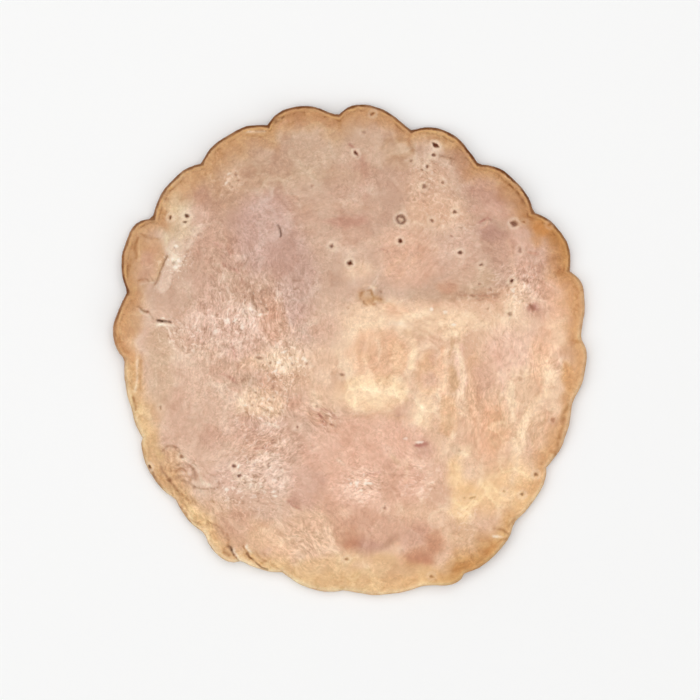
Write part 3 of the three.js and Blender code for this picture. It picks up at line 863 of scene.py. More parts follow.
# The darkest lines are painted shade in the tears, and the GLINT and SHELL lines beside them are painted
# highlights; the bark, flax, honey and amber lines are the skin's own.
TORN_SKIN = each(
    Mark,
    (-26.8, -43.1, -26.2, -43.9, 0, 0.26, 0.3, Tone.SLIT_SHADE, 0.6),
    (-26.2, -43.9, -25.6, -45, 0, 0.24, 0.3, Tone.SLIT_SHADE, 0.65),
    (-25.6, -45, -24.2, -46.6, -0.1, 0.24, 0.25, Tone.UMBER, 0.55),
    (-25.9, -43.7, -25.1, -45.3, -0.1, 0.28, -0.2, Tone.GLINT, 0.8),
    (-24.9, -45.2, -22.6, -47.6, -0.2, 0.3, -0.2, Tone.GLINT, 0.6),
    (-27.8, -44.6, -26.6, -45, 0.1, 0.4, 0.12, Tone.BARK, 0.6),
    (-23.4, -43.4, -22.4, -45, 0, 0.24, 0.2, Tone.BARK, 0.5),
    (-22.4, -45, -20.6, -46.8, -0.1, 0.26, 0.28, Tone.UMBER, 0.7),
    (-20.6, -46.8, -18.4, -48.6, -0.1, 0.24, 0.2, Tone.UMBER, 0.6),
    (-22.8, -43.2, -21.6, -45, -0.1, 0.3, -0.2, Tone.GLINT, 0.7),
    (-21.6, -45, -18.2, -48, -0.2, 0.34, -0.2, Tone.STRAW, 0.75),
    (-20.8, -44.6, -16, -48, -0.4, 0.3, 0.12, Tone.BARK, 0.4),
    (-19, -44.6, -13.6, -49.4, -0.5, 0.3, 0.12, Tone.BARK, 0.2),
    (-27.2, -40.2, -27, -43, 0.2, 0.26, 0.12, Tone.BARK, 0.4),
    (-31.6, -42.4, -30.4, -43.8, 0.1, 0.32, 0.15, Tone.BARK, 0.45),
    (-33.4, -39.4, -32.4, -42, 0.3, 0.5, -0.12, Tone.FLAX, 0.5),
    (-37, -34.8, -35.6, -37.6, 0.1, 0.28, 0.2, Tone.BARK, 0.5),
    (-36.6, -34.6, -35, -36.6, 0.1, 0.34, -0.2, Tone.FLAX, 0.7),
    (-39, -31.4, -37.4, -33.8, 0.1, 0.4, -0.2, Tone.FLAX, 0.7),
    (-37.4, -33.8, -36.2, -34.6, 0, 0.4, -0.2, Tone.FLAX, 0.7),
    (-39.4, -31.2, -38.8, -32.2, 0, 0.26, 0.2, Tone.BARK, 0.45),
    (-38.4, -33.6, -36.8, -34.9, 0.1, 0.24, 0.2, Tone.BARK, 0.4),
    (-44.4, -26, -43, -28.2, -0.1, 0.32, 0.22, Tone.UMBER, 0.5),
    (-43, -28.2, -41.4, -30.6, -0.1, 0.28, 0.22, Tone.BARK, 0.5),
    (-43.2, -26.4, -40.8, -30, -0.2, 0.45, -0.2, Tone.FLAX, 0.6),
    (-46, -19.8, -45.4, -24.6, -0.1, 0.34, 0.15, Tone.BARK, 0.4),
    (-47, 0, -47.1, -9.2, -0.1, 0.32, -0.15, Tone.GLINT, 0.5),
    (-46.3, -2.4, -46.1, -9, -0.1, 0.34, 0.12, Tone.AMBER, 0.6),
    (-47.6, -10.6, -47.2, -13.2, 0.1, 0.34, 0.15, Tone.BARK, 0.6),
    (-48.4, -12.6, -46.9, -17.4, -0.1, 0.32, 0.15, Tone.BARK, 0.4),
    (-46.5, 24.6, -47.5, 20.2, -0.3, 0.34, 0.14, Tone.BARK, 0.65),
    (-48.2, 20, -48.9, 15.8, -0.2, 0.34, 0.12, Tone.BARK, 0.4),
    (-42.6, 24.8, -46, 25.6, 0.5, 0.32, 0.12, Tone.BARK, 0.35),
    (-46, 23.6, -46.8, 19.6, -0.3, 0.34, -0.1, Tone.HONEY, 0.45),
    (-43.7, 28.6, -43.5, 28.3, 0, 0.5, 0.15, Tone.UMBER, 0.65),
    (-49, 12.7, -48.8, 12.5, 0, 0.5, 0.15, Tone.UMBER, 0.55),
    (-51, 8.2, -51.2, 1.4, -0.5, 0.3, 0.12, Tone.BARK, 0.5),
    (-50.4, 8, -50.4, 2, -0.4, 0.34, -0.12, Tone.FLAX, 0.5),
    (-33.1, 40.8, -32.8, 40.6, 0, 0.55, 0.15, Tone.UMBER, 0.6),
    (-37.6, 38.2, -37.2, 38.3, 0, 0.4, 0.12, Tone.UMBER, 0.5),
    (-22.4, 48.2, -19, 48.1, -0.2, 0.3, -0.12, Tone.SHELL, 0.6),
    (-22.6, 47.4, -18.6, 47.2, -0.3, 0.3, 0.12, Tone.BARK, 0.4),
    (-17.8, 48.6, -15.8, 51, 0.3, 0.34, 0.15, Tone.BARK, 0.6),
    (-15.8, 49, -13.8, 50.4, 0.3, 0.34, 0.12, Tone.RUST, 0.6),
    (-16.5, 49.9, -16.2, 50.2, 0, 0.4, 0.12, Tone.UMBER, 0.55),
    (-15.2, 50.9, -14.8, 51, 0, 0.34, 0.12, Tone.UMBER, 0.5),
    (-40.2, 35.6, -36.8, 38.6, 0.2, 0.36, -0.12, Tone.FLAX, 0.75),
    (-40.6, 33.6, -37, 37.2, 0.3, 0.3, 0.1, Tone.BARK, 0.35),
    (-42.8, 31, -41.2, 34.6, 0.1, 0.4, -0.12, Tone.FLAX, 0.4),
    (34.2, 38.6, 39, 33.4, 0.5, 0.3, -0.12, Tone.BUTTER, 0.75),
    (33.6, 37.6, 38.4, 31.6, 0.6, 0.28, 0.1, Tone.BARK, 0.55),
    (38.4, 31.6, 39.8, 30.4, -0.2, 0.5, 0.08, Tone.AMBER, 0.5),
    (31.6, -41, 33.4, -41.2, 0.1, 0.3, -0.12, Tone.GLINT, 0.7),
    (32, -39.4, 34.6, -40.6, 0.3, 0.34, 0.15, Tone.BARK, 0.65),
    (33, -42.2, 34.6, -41.6, 0.1, 0.34, 0.15, Tone.BARK, 0.5),
    (35, -38.6, 36.6, -37, 0.1, 0.4, 0.12, Tone.BARK, 0.4),
    (23, -48.6, 27, -47.8, 0.3, 0.8, 0.12, Tone.BROWN, 0.6),
    (25.6, -46.4, 29, -46.8, 0.3, 0.6, 0.1, Tone.BROWN, 0.5),
    (48, -12.4, 46.4, -19.6, -0.2, 0.45, 0.1, Tone.BARK, 0.5),
    (46.4, -19.6, 44.6, -24.6, 0.1, 0.4, 0.1, Tone.BARK, 0.4),
)
SEAMS = each(
    Mark,
    (-3, 11.2, 20, 10.2, 0.6, 1.1, 0.1),
    (20, 10.2, 36, 9.8, -0.8, 1, 0.1),
    (-0.8, 3.6, 0.6, -5, 0.8, 0.8, 0.1, Tone.CREAM, 0.2),
    (6.2, 8.2, 6.8, 5.6, -0.2, 0.6, 0.08, Tone.CREAM, 0.6),
    (9, 5.9, 13.2, 5, 0.1, 0.5, 0.08, Tone.GLINT, 0.6),
    (13.2, 5, 13, 1, 0.2, 0.6, 0.1, Tone.BRIGHT, 0.6),
    (7, 4.4, 7.4, -3.6, 0.3, 0.5, 0.06, Tone.TAN, 0.3),
    (-4, -14.6, 14, -13.6, -1.2, 1, 0.12),
    (18.2, -16, 17, -34, 2.2, 1.1, 0.12),
    (-13.8, -25, -4, -37, -2.8, 0.9, 0.14),
    (-3.6, -38.6, 4, -46, -2.2, 1, 0.12),
    (6.6, -43.8, 10.4, -40.6, -0.3, 0.6, 0.1, Tone.COCOA, 0.4),
    (10.6, -42.6, 11.4, -46.8, -0.4, 0.8, 0.1, Tone.PEACH, 0.5),
    (23.4, 1, 24.6, -4, 0.2, 0.6, 0.1, Tone.BRIGHT, 0.75),
    (24.6, -4, 24.8, -10, 0.2, 0.6, 0.1, Tone.BRIGHT, 0.7),
    (24.8, -10, 25.6, -14, 0.2, 0.6, 0.1, Tone.CREAM, 0.7),
    (25.6, -14, 27.4, -18.4, 0.2, 0.6, 0.1, Tone.CREAM, 0.5),
    (25, -13.6, 22.8, -18.6, -0.3, 0.6, 0.1, Tone.CREAM, 0.6),
    (22.8, -18.6, 21.2, -22.4, 0.2, 0.6, 0.1, Tone.CREAM, 0.6),
    (20.9, 3, 20.8, -9, 0.2, 0.45, 0.08, Tone.BRIGHT, 0.45),
    (28.4, -13, 27.6, -24, 0.5, 0.5, 0.08, Tone.CREAM, 0.35),
    (29.4, -24.4, 28.2, -29.6, 0.2, 0.6, 0.08, Tone.CREAM, 0.45),
    (43.4, -4, 43, -9.6, 0.4, 0.8, 0.12, Tone.CREAM, 0.6),
    (43, -9.6, 39.6, -13.2, -0.3, 0.8, 0.12, Tone.BRIGHT, 0.8),
    (39.6, -13.2, 38, -17, -0.2, 1, 0.12, Tone.BRIGHT, 0.85),
    (38, -17, 37, -22, 0, 1.1, 0.12, Tone.BRIGHT, 0.75),
    (37, -22, 35.8, -29, 0.2, 0.9, 0.1, Tone.CREAM, 0.6),
    (41.6, -9.6, 38.6, -13.6, -0.3, 0.35, 0.08, Tone.TAN, 0.4),
    (39.4, -18.4, 41.6, -14.6, 0.5, 0.34, 0.08, Tone.TAN, 0.4),
    (41.6, -14.6, 45, -13.6, 0.2, 0.34, 0.08, Tone.TAN, 0.35),
    (40.4, -21, 42.4, -16.4, 0.5, 0.36, 0.08, Tone.TAN, 0.3),
    (42.4, -16.4, 44.6, -15.4, 0.2, 0.36, 0.08, Tone.TAN, 0.25),
    (39.4, -17, 42, -17, 0.3, 0.36, 0.08, Tone.TAN, 0.25),
    (36, -4, 36.2, -14, 0.2, 0.5, 0.08, Tone.CREAM, 0.5),
    (33, -8, 32.8, -14, 0.2, 0.4, 0.08, Tone.TAN, 0.4),
    (7, -20.6, 9.4, -23.6, 0.1, 0.7, 0.08, Tone.PALE_PINK, 0.8),
    (9.4, -23.6, 11.2, -25.4, 0.1, 0.6, 0.08, Tone.CREAM, 0.7),
    (12.6, -24.8, 12.4, -28.6, 0.1, 0.5, 0.08, Tone.CREAM, 0.6),
    (-28, -20, -14, -17, 1.4, 1, 0.1),
    (-34, 33, -29, 14, 1.6, 1.2, 0.1),
    (4, 24, 19, 22, 1.2, 1, 0.08, Tone.SAND, 0.25),
    (8, 17, 12.6, 21, 0.4, 0.6, 0.06, Tone.PEACH, 0.35),
    (10.6, 16, 15.4, 20.6, 0.4, 0.6, 0.06, Tone.PEACH, 0.3),
    (-20, 36, 2, 38, 1.8, 1.4, 0.08, Tone.GREY_CREAM, 0.4),
    (-12, 31, 6, 31, 1, 0.9, 0.08, Tone.SAND, 0.25),
    (33.4, 23.6, 34.6, 14.6, 0.8, 0.9, 0.08, Tone.MAUVE, 0.4),
    (34.8, 24, 36, 13.6, 0.6, 0.7, 0.08, Tone.SAND, 0.35),
    (-12, -36, -2, -40, 1.2, 0.9, 0.08, Tone.CREAM, 0.3),
    (-14, -38.6, -6, -45.2, 0.6, 0.35, 0.06, Tone.TAN, 0.2),
    (-13, -37.4, -5, -43.6, 0.6, 0.35, 0.06, Tone.TAN, 0.2),
    (-16, -40, -8, -47, 0.6, 0.35, 0.06, Tone.TAN, 0.3),
    (-18.6, -39.4, -11, -46.6, 0.6, 0.4, 0.06, Tone.CREAM, 0.3),
    (-21, -38.6, -13.6, -45.8, 0.5, 0.4, 0.06, Tone.CREAM, 0.25),
)
MARKS = SEAMS + CREASES + CURLS + TORN_SKIN
THIN_MARK = 0.45  # narrower marks need a finer mesh


@dataclass(frozen=True)
class Flow:
    """The way that the meat's fibres run about one place, in millimetres and degrees."""

    x: float
    y: float
    way: float
    reach: float = 8.0
    amount: float = 1.0

    def at(self, points: Points) -> np.ndarray:
        """How strongly it turns the fibres at points.

        Args:
            points: Places on the slice.

        Returns:
            Its share at each, times the cosine and the sine of twice its angle.
        """
        off = (points[0] - self.x) ** 2 + (points[1] - self.y) ** 2
        share = self.amount * np.exp(-off / self.reach**2)
        double = 2 * math.radians(self.way)
        return np.stack([share * math.cos(double), share * math.sin(double)])


FLOWS = each(
    Flow,
    (-24, 8, 96), (-20, 15, 95), (-13, 11, 100), (-30, 3, 76), (-35, 27, 62, 7), (-43, 20, 70, 6),
    (-27, 37, 50, 7), (-25, 25, 125, 6), (-15, 34, 4, 9), (0, 28, 3, 6), (-8, 45, 8, 8),
    (3, 38, 82, 5), (12, 44, 20, 5), (21, 42, -35, 6), (31, 35, -45, 6), (10, 18, 30, 7),
    (17, 24, 55, 5), (32, 26, 150, 5), (27, 16, 8, 7), (38, 15, 62, 5), (43, 22, 118, 5),
    (48, 8, 95, 5), (15, 8, 0, 7), (-7, 8, 80, 6), (33, 2, 100, 6), (43, -3, 82, 6),
    (24, 0, 93, 5), (26, -11, 88, 6), (32, -16, 90, 6), (30, -26, 75, 6), (38, -18, 76, 5),
    (45, -15, 76, 5), (22, -26, 96, 5), (36, -31, 58, 6), (16, -13, 72, 5), (5, -9, 8, 6),
    (13, -2, 62, 4), (4, 0, 82, 5), (-5, -4, 84, 6), (-6, -15, 150, 5), (7, -21, 125, 6),
    (15, -29, 5, 5), (2, -30, 8, 6), (7, -39, 88, 6), (17, -43, 62, 6), (-1, -41, 124, 5),
    (-9, -42, 138, 7), (-18, -43, 140, 6), (-26, -37, 108, 6), (-20, -28, 15, 7),
    (-26, -20, 42, 6), (-15, -21, 34, 5), (-18, -13, 110, 5), (-14, -3, 92, 6),
    (-39, -26, 140, 6), (-34, -37, 130, 6), (-43, -12, 100, 6), (-36, -9, 84, 6),
    (-33, -17, 58, 5), (-24, -7, 84, 6), (3, -50, 4, 7), (-40, 4, 150, 5), (25, -41, 45, 6),
)


@dataclass(frozen=True)
class Zone:
    """A round stretch of the meat that is more stringy, curly or grainy than the rest, or more scattered
    with painted glints and dark nicks.
    """

    x: float
    y: float
    reach: float
    amount: float

    def at(self, points: Points) -> np.ndarray:
        """The zone's share at points."""
        off = (points[0] - self.x) ** 2 + (points[1] - self.y) ** 2
        return self.amount * np.exp(-off / self.reach**2)


def share_of(zones: tuple[Zone, ...], points: Points) -> np.ndarray:
    """How much of some zones there is at points, from 0 to 1."""
    return np.clip(sum(zone.at(points) for zone in zones), 0, 1)


STRINGY = each(
    Zone,
    (-24, 7, 9, 0.6), (-14, 8, 6, 0.35), (-14, -2, 6, 0.5), (-18, -13, 6, 0.55), (-20, -27, 8, 0.5),
    (3, -30, 5, 0.6), (14, -26, 7, 0.45), (-9, -42, 7, 0.7), (31, -14, 9, 0.5), (43, -3, 6, 0.5),
    (33, 2, 6, 0.3), (-38, -26, 6, 0.5), (17, 38, 5, 0.2), (38, 15, 6, 0.6), (-6, -15, 5, 0.6),
    (-26, 21, 6, 0.3), (-15, -21, 6, 0.4), (15, 20, 7, 0.1), (-35, 3, 6, 0.3), (24, -8, 5, 0.35),
    (42, -18, 5, 0.4), (-33, -38, 6, 0.4), (26, -46, 5, 0.4),
)
# Where the painted glints and the dark nicks beside them are scattered.
GLINT_ZONES = each(
    Zone,
    (-24, 7, 6, 0.6), (-14, -3, 5, 0.75), (-19, -13, 5.5, 0.7), (-20, -28, 7, 0.65), (-27, -31, 4, 0.4),
    (2, -30, 3.5, 0.8), (16, -29, 5, 0.4), (-27, 38, 3.5, 0.35), (17, 38, 5, 0.4), (37, 14, 5, 0.5),
    (-38, 3, 4, 0.6), (22, 28, 6, 0.3), (-38.5, 19, 3, 0.9), (-5, -16, 3, 0.4), (29, 6, 8, 0.25),
    (-16, 12, 4, 0.3), (25, -37, 4, 0.3), (-33, 2, 4, 0.4), (-29, 7, 4, 0.3),
)
CURLY = each(
    Zone,
    (-38, -26, 6, 1), (42, 16, 7, 0.8), (11, 44, 6, 0.6), (-35, -14, 5, 0.4), (32, -17, 6, 0.3),
    (5, 0, 6, 0.4), (14, 19, 6, 0.5), (45, -1, 5, 0.6), (-5, -15, 4, 0.5), (3, -30, 6, 0.5),
    (-19, -20, 6, 0.5), (36, -34, 5, 0.3), (-22, 12, 6, 0.4), (22, 6, 6, 0.5), (-14, 30, 8, 0.15),
)
GRAINY = each(
    Zone,
    (-24, 26, 20, 0.6), (4, 36, 14, 0.3), (22, 36, 13, 0.45), (30, 20, 11, 0.5), (-30, 2, 15, 0.7),
    (-14, 6, 13, 0.5), (-18, -12, 12, 0.6), (-24, -30, 15, 0.8), (40, 14, 8, 0.5), (3, -31, 8, 0.4),
)


@dataclass(frozen=True)
class Lift:
    """A stretch of the rim that stands off the table. Degrees, and millimetres."""

    at: float
    spread: float
    height: float


@dataclass(frozen=True)
class Swell:
    """A slow swell of the upper face, in radians to the millimetre, and millimetres."""

    along_x: float
    along_y: float
    phase: float
    height: float


@dataclass(frozen=True)
class Ridge:
    """A low ridge that follows the skin all round, in millimetres."""

    inwards: float
    width: float
    height: float  # less than nothing is a groove

    def at(self, inwards: np.ndarray) -> np.ndarray:
        """Its height at points that are so far in from the skin."""
        return self.height * np.exp(-(((inwards - self.inwards) / self.width) ** 2))


@dataclass(frozen=True)
class Sliver:
    """A thin place in the meat, pale and a little sunken, that narrows towards its lower end."""

    top: tuple[float, float] = (-33.9, 31.0)
    end: tuple[float, float] = (-41.9, 12.6)
    top_width: float = 5.9
    end_width: float = 2.4
    depth: float = 0.3
    smoothness: float = 0.3  # how much less its fibres show
    edge: float = 0.5  # how wide its soft edge is at its lower end
    top_edge: float = 1.4  # how much wider the edge is for each length of the sliver further up
    firm_from: float = 0.8  # the share of its length where the edge has stopped narrowing
    above: float = 0.1  # how far past its top it starts to show, as a share of its length
    fade: float = 0.5  # the share of its length over which it fades in

    def cover(self, points: Points) -> np.ndarray:
        """How much of the meat is thin at points.

        Args:
            points: Places on the slice.

        Returns:
            Shares from 0 to 1. The sliver's lower end is round, and its top fades out.
        """
        along, across, length = beside_line(points, self.top, self.end)
        half = (self.top_width + np.clip(along, 0, 1) * (self.end_width - self.top_width)) / 2
        past = np.clip(along * length - length + self.end_width / 2, 0, None)
        edge = self.edge + self.top_edge * np.clip(self.firm_from - along, 0, 1)
        inside = smooth((half - np.hypot(across, past)) / edge + 0.5)
        return inside * smooth((along + self.above) / self.fade)


class Graph:
    """The nodes of one material, added one by one and joined as they are named."""

    def __init__(self, material: bpy.types.Material) -> None:
        """Empties the material's nodes.

        Args:
            material: The material to build.
        """
        material.use_nodes = True
        self.tree = material.node_tree
        self.tree.nodes.clear()

    def add(self, kind: str, inputs: dict | None = None, **settings: object) -> bpy.types.Node:
        """Adds a node.

        Args:
            kind: The node's type, without its first words.
            inputs: Values or sockets, by the name or number of the input.
            **settings: The node's own settings.

        Returns:
            The node.
        """
        node = self.tree.nodes.new("ShaderNode" + kind)
        for name, value in settings.items():
            setattr(node, name, value)
        for name, value in (inputs or {}).items():
            if isinstance(value, Socket):
                self.tree.links.new(value, node.inputs[name])
            else:
                node.inputs[name].default_value = value
        return node

    def attribute(self, name: str) -> bpy.types.Node:
        """The node that reads one of the piece's own attributes."""
        return self.add("Attribute", attribute_name=name, attribute_type="GEOMETRY")

    def channels(self, name: str) -> list[Socket]:
        """The three numbers that an attribute holds."""
        return self.add("SeparateColor", {0: self.attribute(name).outputs["Color"]}).outputs[:3]

    def millimetres(self) -> Socket:
        """Where on the piece, in millimetres."""
        place = self.add("TexCoord").outputs["Object"]
        return self.add("VectorMath", {0: place, 3: 1 / MM}, operation="SCALE").outputs[0]

    def sum(
        self,
        operation: str,
        first: Socket | float,
        second: Socket | float = 0.0,
        clamped: bool = False,
    ) -> Socket:
        """The answer of a sum, which has Blender's name for it, kept from 0 to 1 if clamped."""
        node = self.add("Math", {0: first, 1: second}, operation=operation, use_clamp=clamped)
        return node.outputs[0]

    def ramp(
        self, value: Socket, start: float, end: float, low: float = 0.0, high: float = 1.0
    ) -> Socket:
        """Eases from low, where a number is at the start, to high, where it is at the end."""
        inputs = {"Value": value, "From Min": start, "From Max": end, "To Min": low, "To Max": high}
        return self.add("MapRange", inputs, interpolation_type="SMOOTHSTEP").outputs[0]

    def between(self, value: Socket, start: float, end: float, amount: Socket | float) -> Socket:
        """Eases from 0, where a number is at the start, to the amount, where it is at the end."""
        return self.sum("MULTIPLY", self.ramp(value, start, end), amount)

    def blend(
        self,
        share: Socket | float,
        under: Socket | tuple,
        over: Socket | tuple,
        way: str = "MIX",
    ) -> Socket:
        """Lays one colour over another.

        Args:
            share: How much of the upper colour there is.
            under: The lower colour.
            over: The upper colour.
            way: How they mix.

        Returns:
            The mixed colour's socket.
        """
        inputs = {0: share, 6: under, 7: over}
        node = self.add("Mix", inputs, data_type="RGBA", blend_type=way, clamp_factor=True)
        return node.outputs[2]

    def noise(
        self,
        place: Socket,
        size: float,
        detail: float = 2.0,
        roughness: float = 0.5,
        distortion: float = 0.0,
    ) -> Socket:
        """Cloudy noise.

        Args:
            place: Where it is read, in millimetres.
            size: How wide its clouds are, in millimetres.
            detail: How many finer layers it has.
            roughness: How strong the finer layers are.
            distortion: How far the clouds are drawn out of shape.

        Returns:
            The socket of the noise's height, from 0 to 1.
        """
        inputs = {
            "Vector": place,
            "Scale": 1 / size,
            "Detail": detail,
            "Roughness": roughness,
            "Distortion": distortion,
        }
        return self.add("TexNoise", inputs).outputs[0]

    def wander(self, place: Socket, size: float, detail: float, reach: float) -> Socket:
        """Moves places to and fro.

        Args:
            place: Where on the slice, in millimetres.
            size: How wide the stretches are that move one way, in millimetres.
            detail: How many finer layers the moves have.
            reach: How far they go, in millimetres.

        Returns:
            The socket of the places moved.
        """
        cloud = self.noise(place, size, detail, 0.55).node.outputs["Color"]
        centred = self.add("VectorMath", {0: cloud, 1: (0.5, 0.5, 0.5)}, operation="SUBTRACT")
        scaled = self.add("VectorMath", {0: centred.outputs[0], 3: reach}, operation="SCALE")
        moved = self.add("VectorMath", {0: place, 1: scaled.outputs[0]}, operation="ADD")
        return moved.outputs[0]


PALER_GREEN = 1.22  # how much faster than its red a tone's green changes as it gets paler
PALER_BLUE = 1.43


def lighter(amount: float, warmth: float) -> Colour:
    """What red, green and blue are multiplied by to be paler, or darker below nothing."""
    return 1 + amount, 1 + amount * PALER_GREEN * warmth, 1 + amount * PALER_BLUE * warmth


@dataclass(frozen=True)
class Band:
    """A band of one tone that follows the skin's edge, in millimetres."""

    depth: float  # how far in its middle is
    half: float  # half its width
    strength: float
    tone: Colour


@dataclass(frozen=True)
class MeatFinish:
    """Moist cooked breast meat: mottled, finely stringy and pitted, with a honey roasted skin."""

    name: str = "moist_turkey_meat"
    bundle_size: float = 7.0  # of the muscle's bundles
    grain_size: float = 0.8
    fibre_width: float = 1.05  # of the widest, in millimetres
    fibre_stretch: float = 3.0  # how much longer than wide a fibre is
    fibre_ways: int = 6  # the fibres' blend is made of fibres that run in so many ways
    fibre_contrast: float = 0.12
    thread_width: float = 0.66
    thread_contrast: float = 0.15
    curl_pitch: float = 1.25
    curl_hills: float = 9.0  # how wide the hills are that the curls go round
    roughness: float = 0.44
    relief: float = 0.11 * MM
    # the skin's dark edge, roasted skin with painted shade along it, and the brown band further in
    line_tone: Colour = (108, 56, 8)
    rim_tone: Colour = (232, 186, 122)
    pore_tone: Colour = (94, 36, 0)
    pale_tone: Colour = (252, 230, 204)
    # painted highlight for the wet glints
    highlight_tone: Colour = (255, 243, 226)
    bands: tuple[Band, ...] = each(
        Band,
        (0.95, 0.35, 0.6, rim_tone),
        (1.5, 0.3, 0.42, line_tone),
    )

    def make(self) -> bpy.types.Material:
        """Builds the material.

        Returns:
            The material, which reads the attributes tone, skin, zones, flow and spots.
        """
        material = bpy.data.materials.new(self.name)
        MeatLayers(self, material).build()
        return material


class MeatLayers(Graph):
    """The meat's nodes, which lay one layer after another over its tone."""

    def __init__(self, finish: MeatFinish, material: bpy.types.Material) -> None:
        """Reads what the slice stores at its points.

        Args:
            finish: The sizes and tones.
            material: The material to build.
        """
        super().__init__(material)
        self.finish = finish
        self.where = self.millimetres()
        self.colour = self.attribute("tone").outputs["Color"]
        self.flow = self.attribute("flow").outputs["Vector"]
        self.grainy = self.add("SeparateXYZ", {0: self.flow}).outputs[2]
        self.stringy, self.flecked, self.curly = self.channels("zones")

    def build(self) -> None:
        """Lays all layers and joins them to the surface."""
        self.bundles()
        grain = self.grain()
        strings, threads = self.fibres()
        self.lay_fibres(strings, self.stringy, self.finish.fibre_contrast)
        thready = self.sum("ADD", self.stringy, self.sum("MULTIPLY", self.grainy, 0.4))
        self.lay_fibres(threads, thready, self.finish.thread_contrast)
        self.curls()
        glints_and_nicks = self.glints_and_nicks(strings)
        self.skin()
        self.spots()
        height = self.sum("MULTIPLY", strings, self.sum("ADD", self.stringy, 0.3))
        height = self.sum("ADD", height, self.sum("MULTIPLY", threads, 0.5))
        height = self.sum("ADD", self.sum("MULTIPLY", height, 1.2), grain)
        self.surface(self.sum("ADD", height, self.sum("MULTIPLY", glints_and_nicks, 0.5)))

    def tint(self, share: Socket, by: Colour) -> None:
        """Multiplies the colour's red, green and blue, as much as the share says."""
        self.colour = self.blend(share, self.colour, (*by, 1), "MULTIPLY")

    def lay(self, share: Socket, tone: Colour) -> None:
        """Lays a tone over the colour, as much as the share says."""
        self.colour = self.blend(share, self.colour, (*daylight(tone), 1))

    def vary(
        self,
        value: Socket,
        start: float,
        end: float,
        amount: float,
        warmth: float,
        clear: Socket | float = 1.0,
        middle: float = 0.5,
    ) -> None:
        """Makes the colour paler where a number is high, and darker where it is low.

        Args:
            value: The number.
            start: How far from its middle the change starts.
            end: How far from its middle the change is full.
            amount: How much paler its red gets. Less than nothing is darker.
            warmth: How much more its green and blue change than is usual for the meat.
            clear: How clearly the change shows.
            middle: The number's middle.
        """
        for side in (1, -1):
            share = self.between(value, middle + side * start, middle + side * end, clear)
            self.tint(share, lighter(side * amount, warmth))

    def bundles(self) -> None:
        """Makes some bundles of muscle rosier, with soft creamy seams between them."""
        moved = self.wander(self.where, 6.0, 3.0, 11.0)
        inputs = {"Vector": moved, "Scale": 1 / self.finish.bundle_size}
        bundle = self.add("TexVoronoi", {**inputs, "Smoothness": 0.35}, feature="SMOOTH_F1")
        drawn = self.add("SeparateColor", {0: bundle.outputs["Color"]}).outputs[1]
        self.vary(drawn, 0.0, 0.3, -0.04, 1.5)
        edge = self.add("TexVoronoi", inputs, feature="DISTANCE_TO_EDGE").outputs["Distance"]
        here = self.ramp(self.noise(self.where, 13.0), 0.42, 0.62)
        self.tint(self.between(edge, 0.14, 0.0, here), lighter(0.07, 1.6))

    def grain(self) -> Socket:
        """Lays the fine unevenness of a cut face over the meat.

        Returns:
            The grain's height.
        """
        fine = self.noise(self.where, self.finish.grain_size, 1.0, 0.6, 1.2)
        clear = self.ramp(self.noise(self.where, 7.0), 0.38, 0.62, 0.2, 0.7)
        clear = self.sum("ADD", clear, self.sum("MULTIPLY", self.grainy, 0.4), True)
        self.vary(fine, 0.0, 0.2, 0.13, 0.95, clear)
        self.vary(self.noise(self.where, 3.4, 3.0, 0.6, 0.5), 0.0, 0.22, 0.06, 1.3)
        return self.sum("MULTIPLY", fine, 0.5)

    def fibres(self) -> tuple[Socket, Socket]:
        """Draws fibres, and finer threads, that run the way of the attribute flow.

        Fibres that run in a few set ways are blended, each as much as the flow runs its way.

        Returns:
            The fibres' height and the threads', both about 0 on the whole.
        """
        moved = self.wander(self.where, 5.0, 1.0, 3.6)
        totals = [0.0, 0.0]
        for step in range(self.finish.fibre_ways):
            turn = math.pi * step / self.finish.fibre_ways
            way = (math.cos(2 * turn), math.sin(2 * turn), 0.0)
            along = self.add("VectorMath", {0: self.flow, 1: way}, operation="DOT_PRODUCT")
            share = self.sum("POWER", self.sum("MAXIMUM", along.outputs["Value"], 0.0), 2.0)
            inputs = {"Vector": moved, "Angle": -turn}
            turned = self.add("VectorRotate", inputs, rotation_type="Z_AXIS")
            drawn_out = self.add("Mapping", {
                "Vector": turned.outputs[0],
                "Location": (17.0 * step, 0.0, 0.0),
                "Scale": (1 / self.finish.fibre_stretch, 1.0, 1.0),
            })
            widths = (self.finish.fibre_width, self.finish.thread_width)
            for finer, width in enumerate(widths):
                fibre = self.noise(drawn_out.outputs[0], width, 1.0, 0.6, 0.9)
                layer = self.sum("MULTIPLY", share, self.sum("SUBTRACT", fibre, 0.5))
                totals[finer] = self.sum("ADD", layer, totals[finer])
        return totals[0], totals[1]

    def lay_fibres(self, height: Socket, stringy: Socket, contrast: float) -> None:
        """Colours fibres or threads, pale on their ridges, and clearest where it is stringy."""
        clear = self.ramp(stringy, 0.0, 0.9, 0.2, 1.0)
        self.vary(height, 0.01, 0.13, contrast, 1.0, clear, 0.0)

    def curls(self) -> None:
        """Draws curled lines, like a map's contours, where bundles were cut slantwise."""
        faint = self.between(self.noise(self.where, 11.0), 0.42, 0.62, 0.45)
        clear = self.sum("ADD", self.curly, faint, True)
        hills = self.noise(self.where, self.finish.curl_hills, 2.0, 0.5, 0.6)
        turns = 2 * math.pi * self.finish.curl_hills / self.finish.curl_pitch
        steps = self.sum("SINE", self.sum("MULTIPLY", hills, turns))
        self.tint(self.between(steps, 0.2, 1.0, clear), lighter(0.07, 1.2))
        self.tint(self.between(steps, -0.3, -1.0, clear), lighter(-0.09, 1.3))

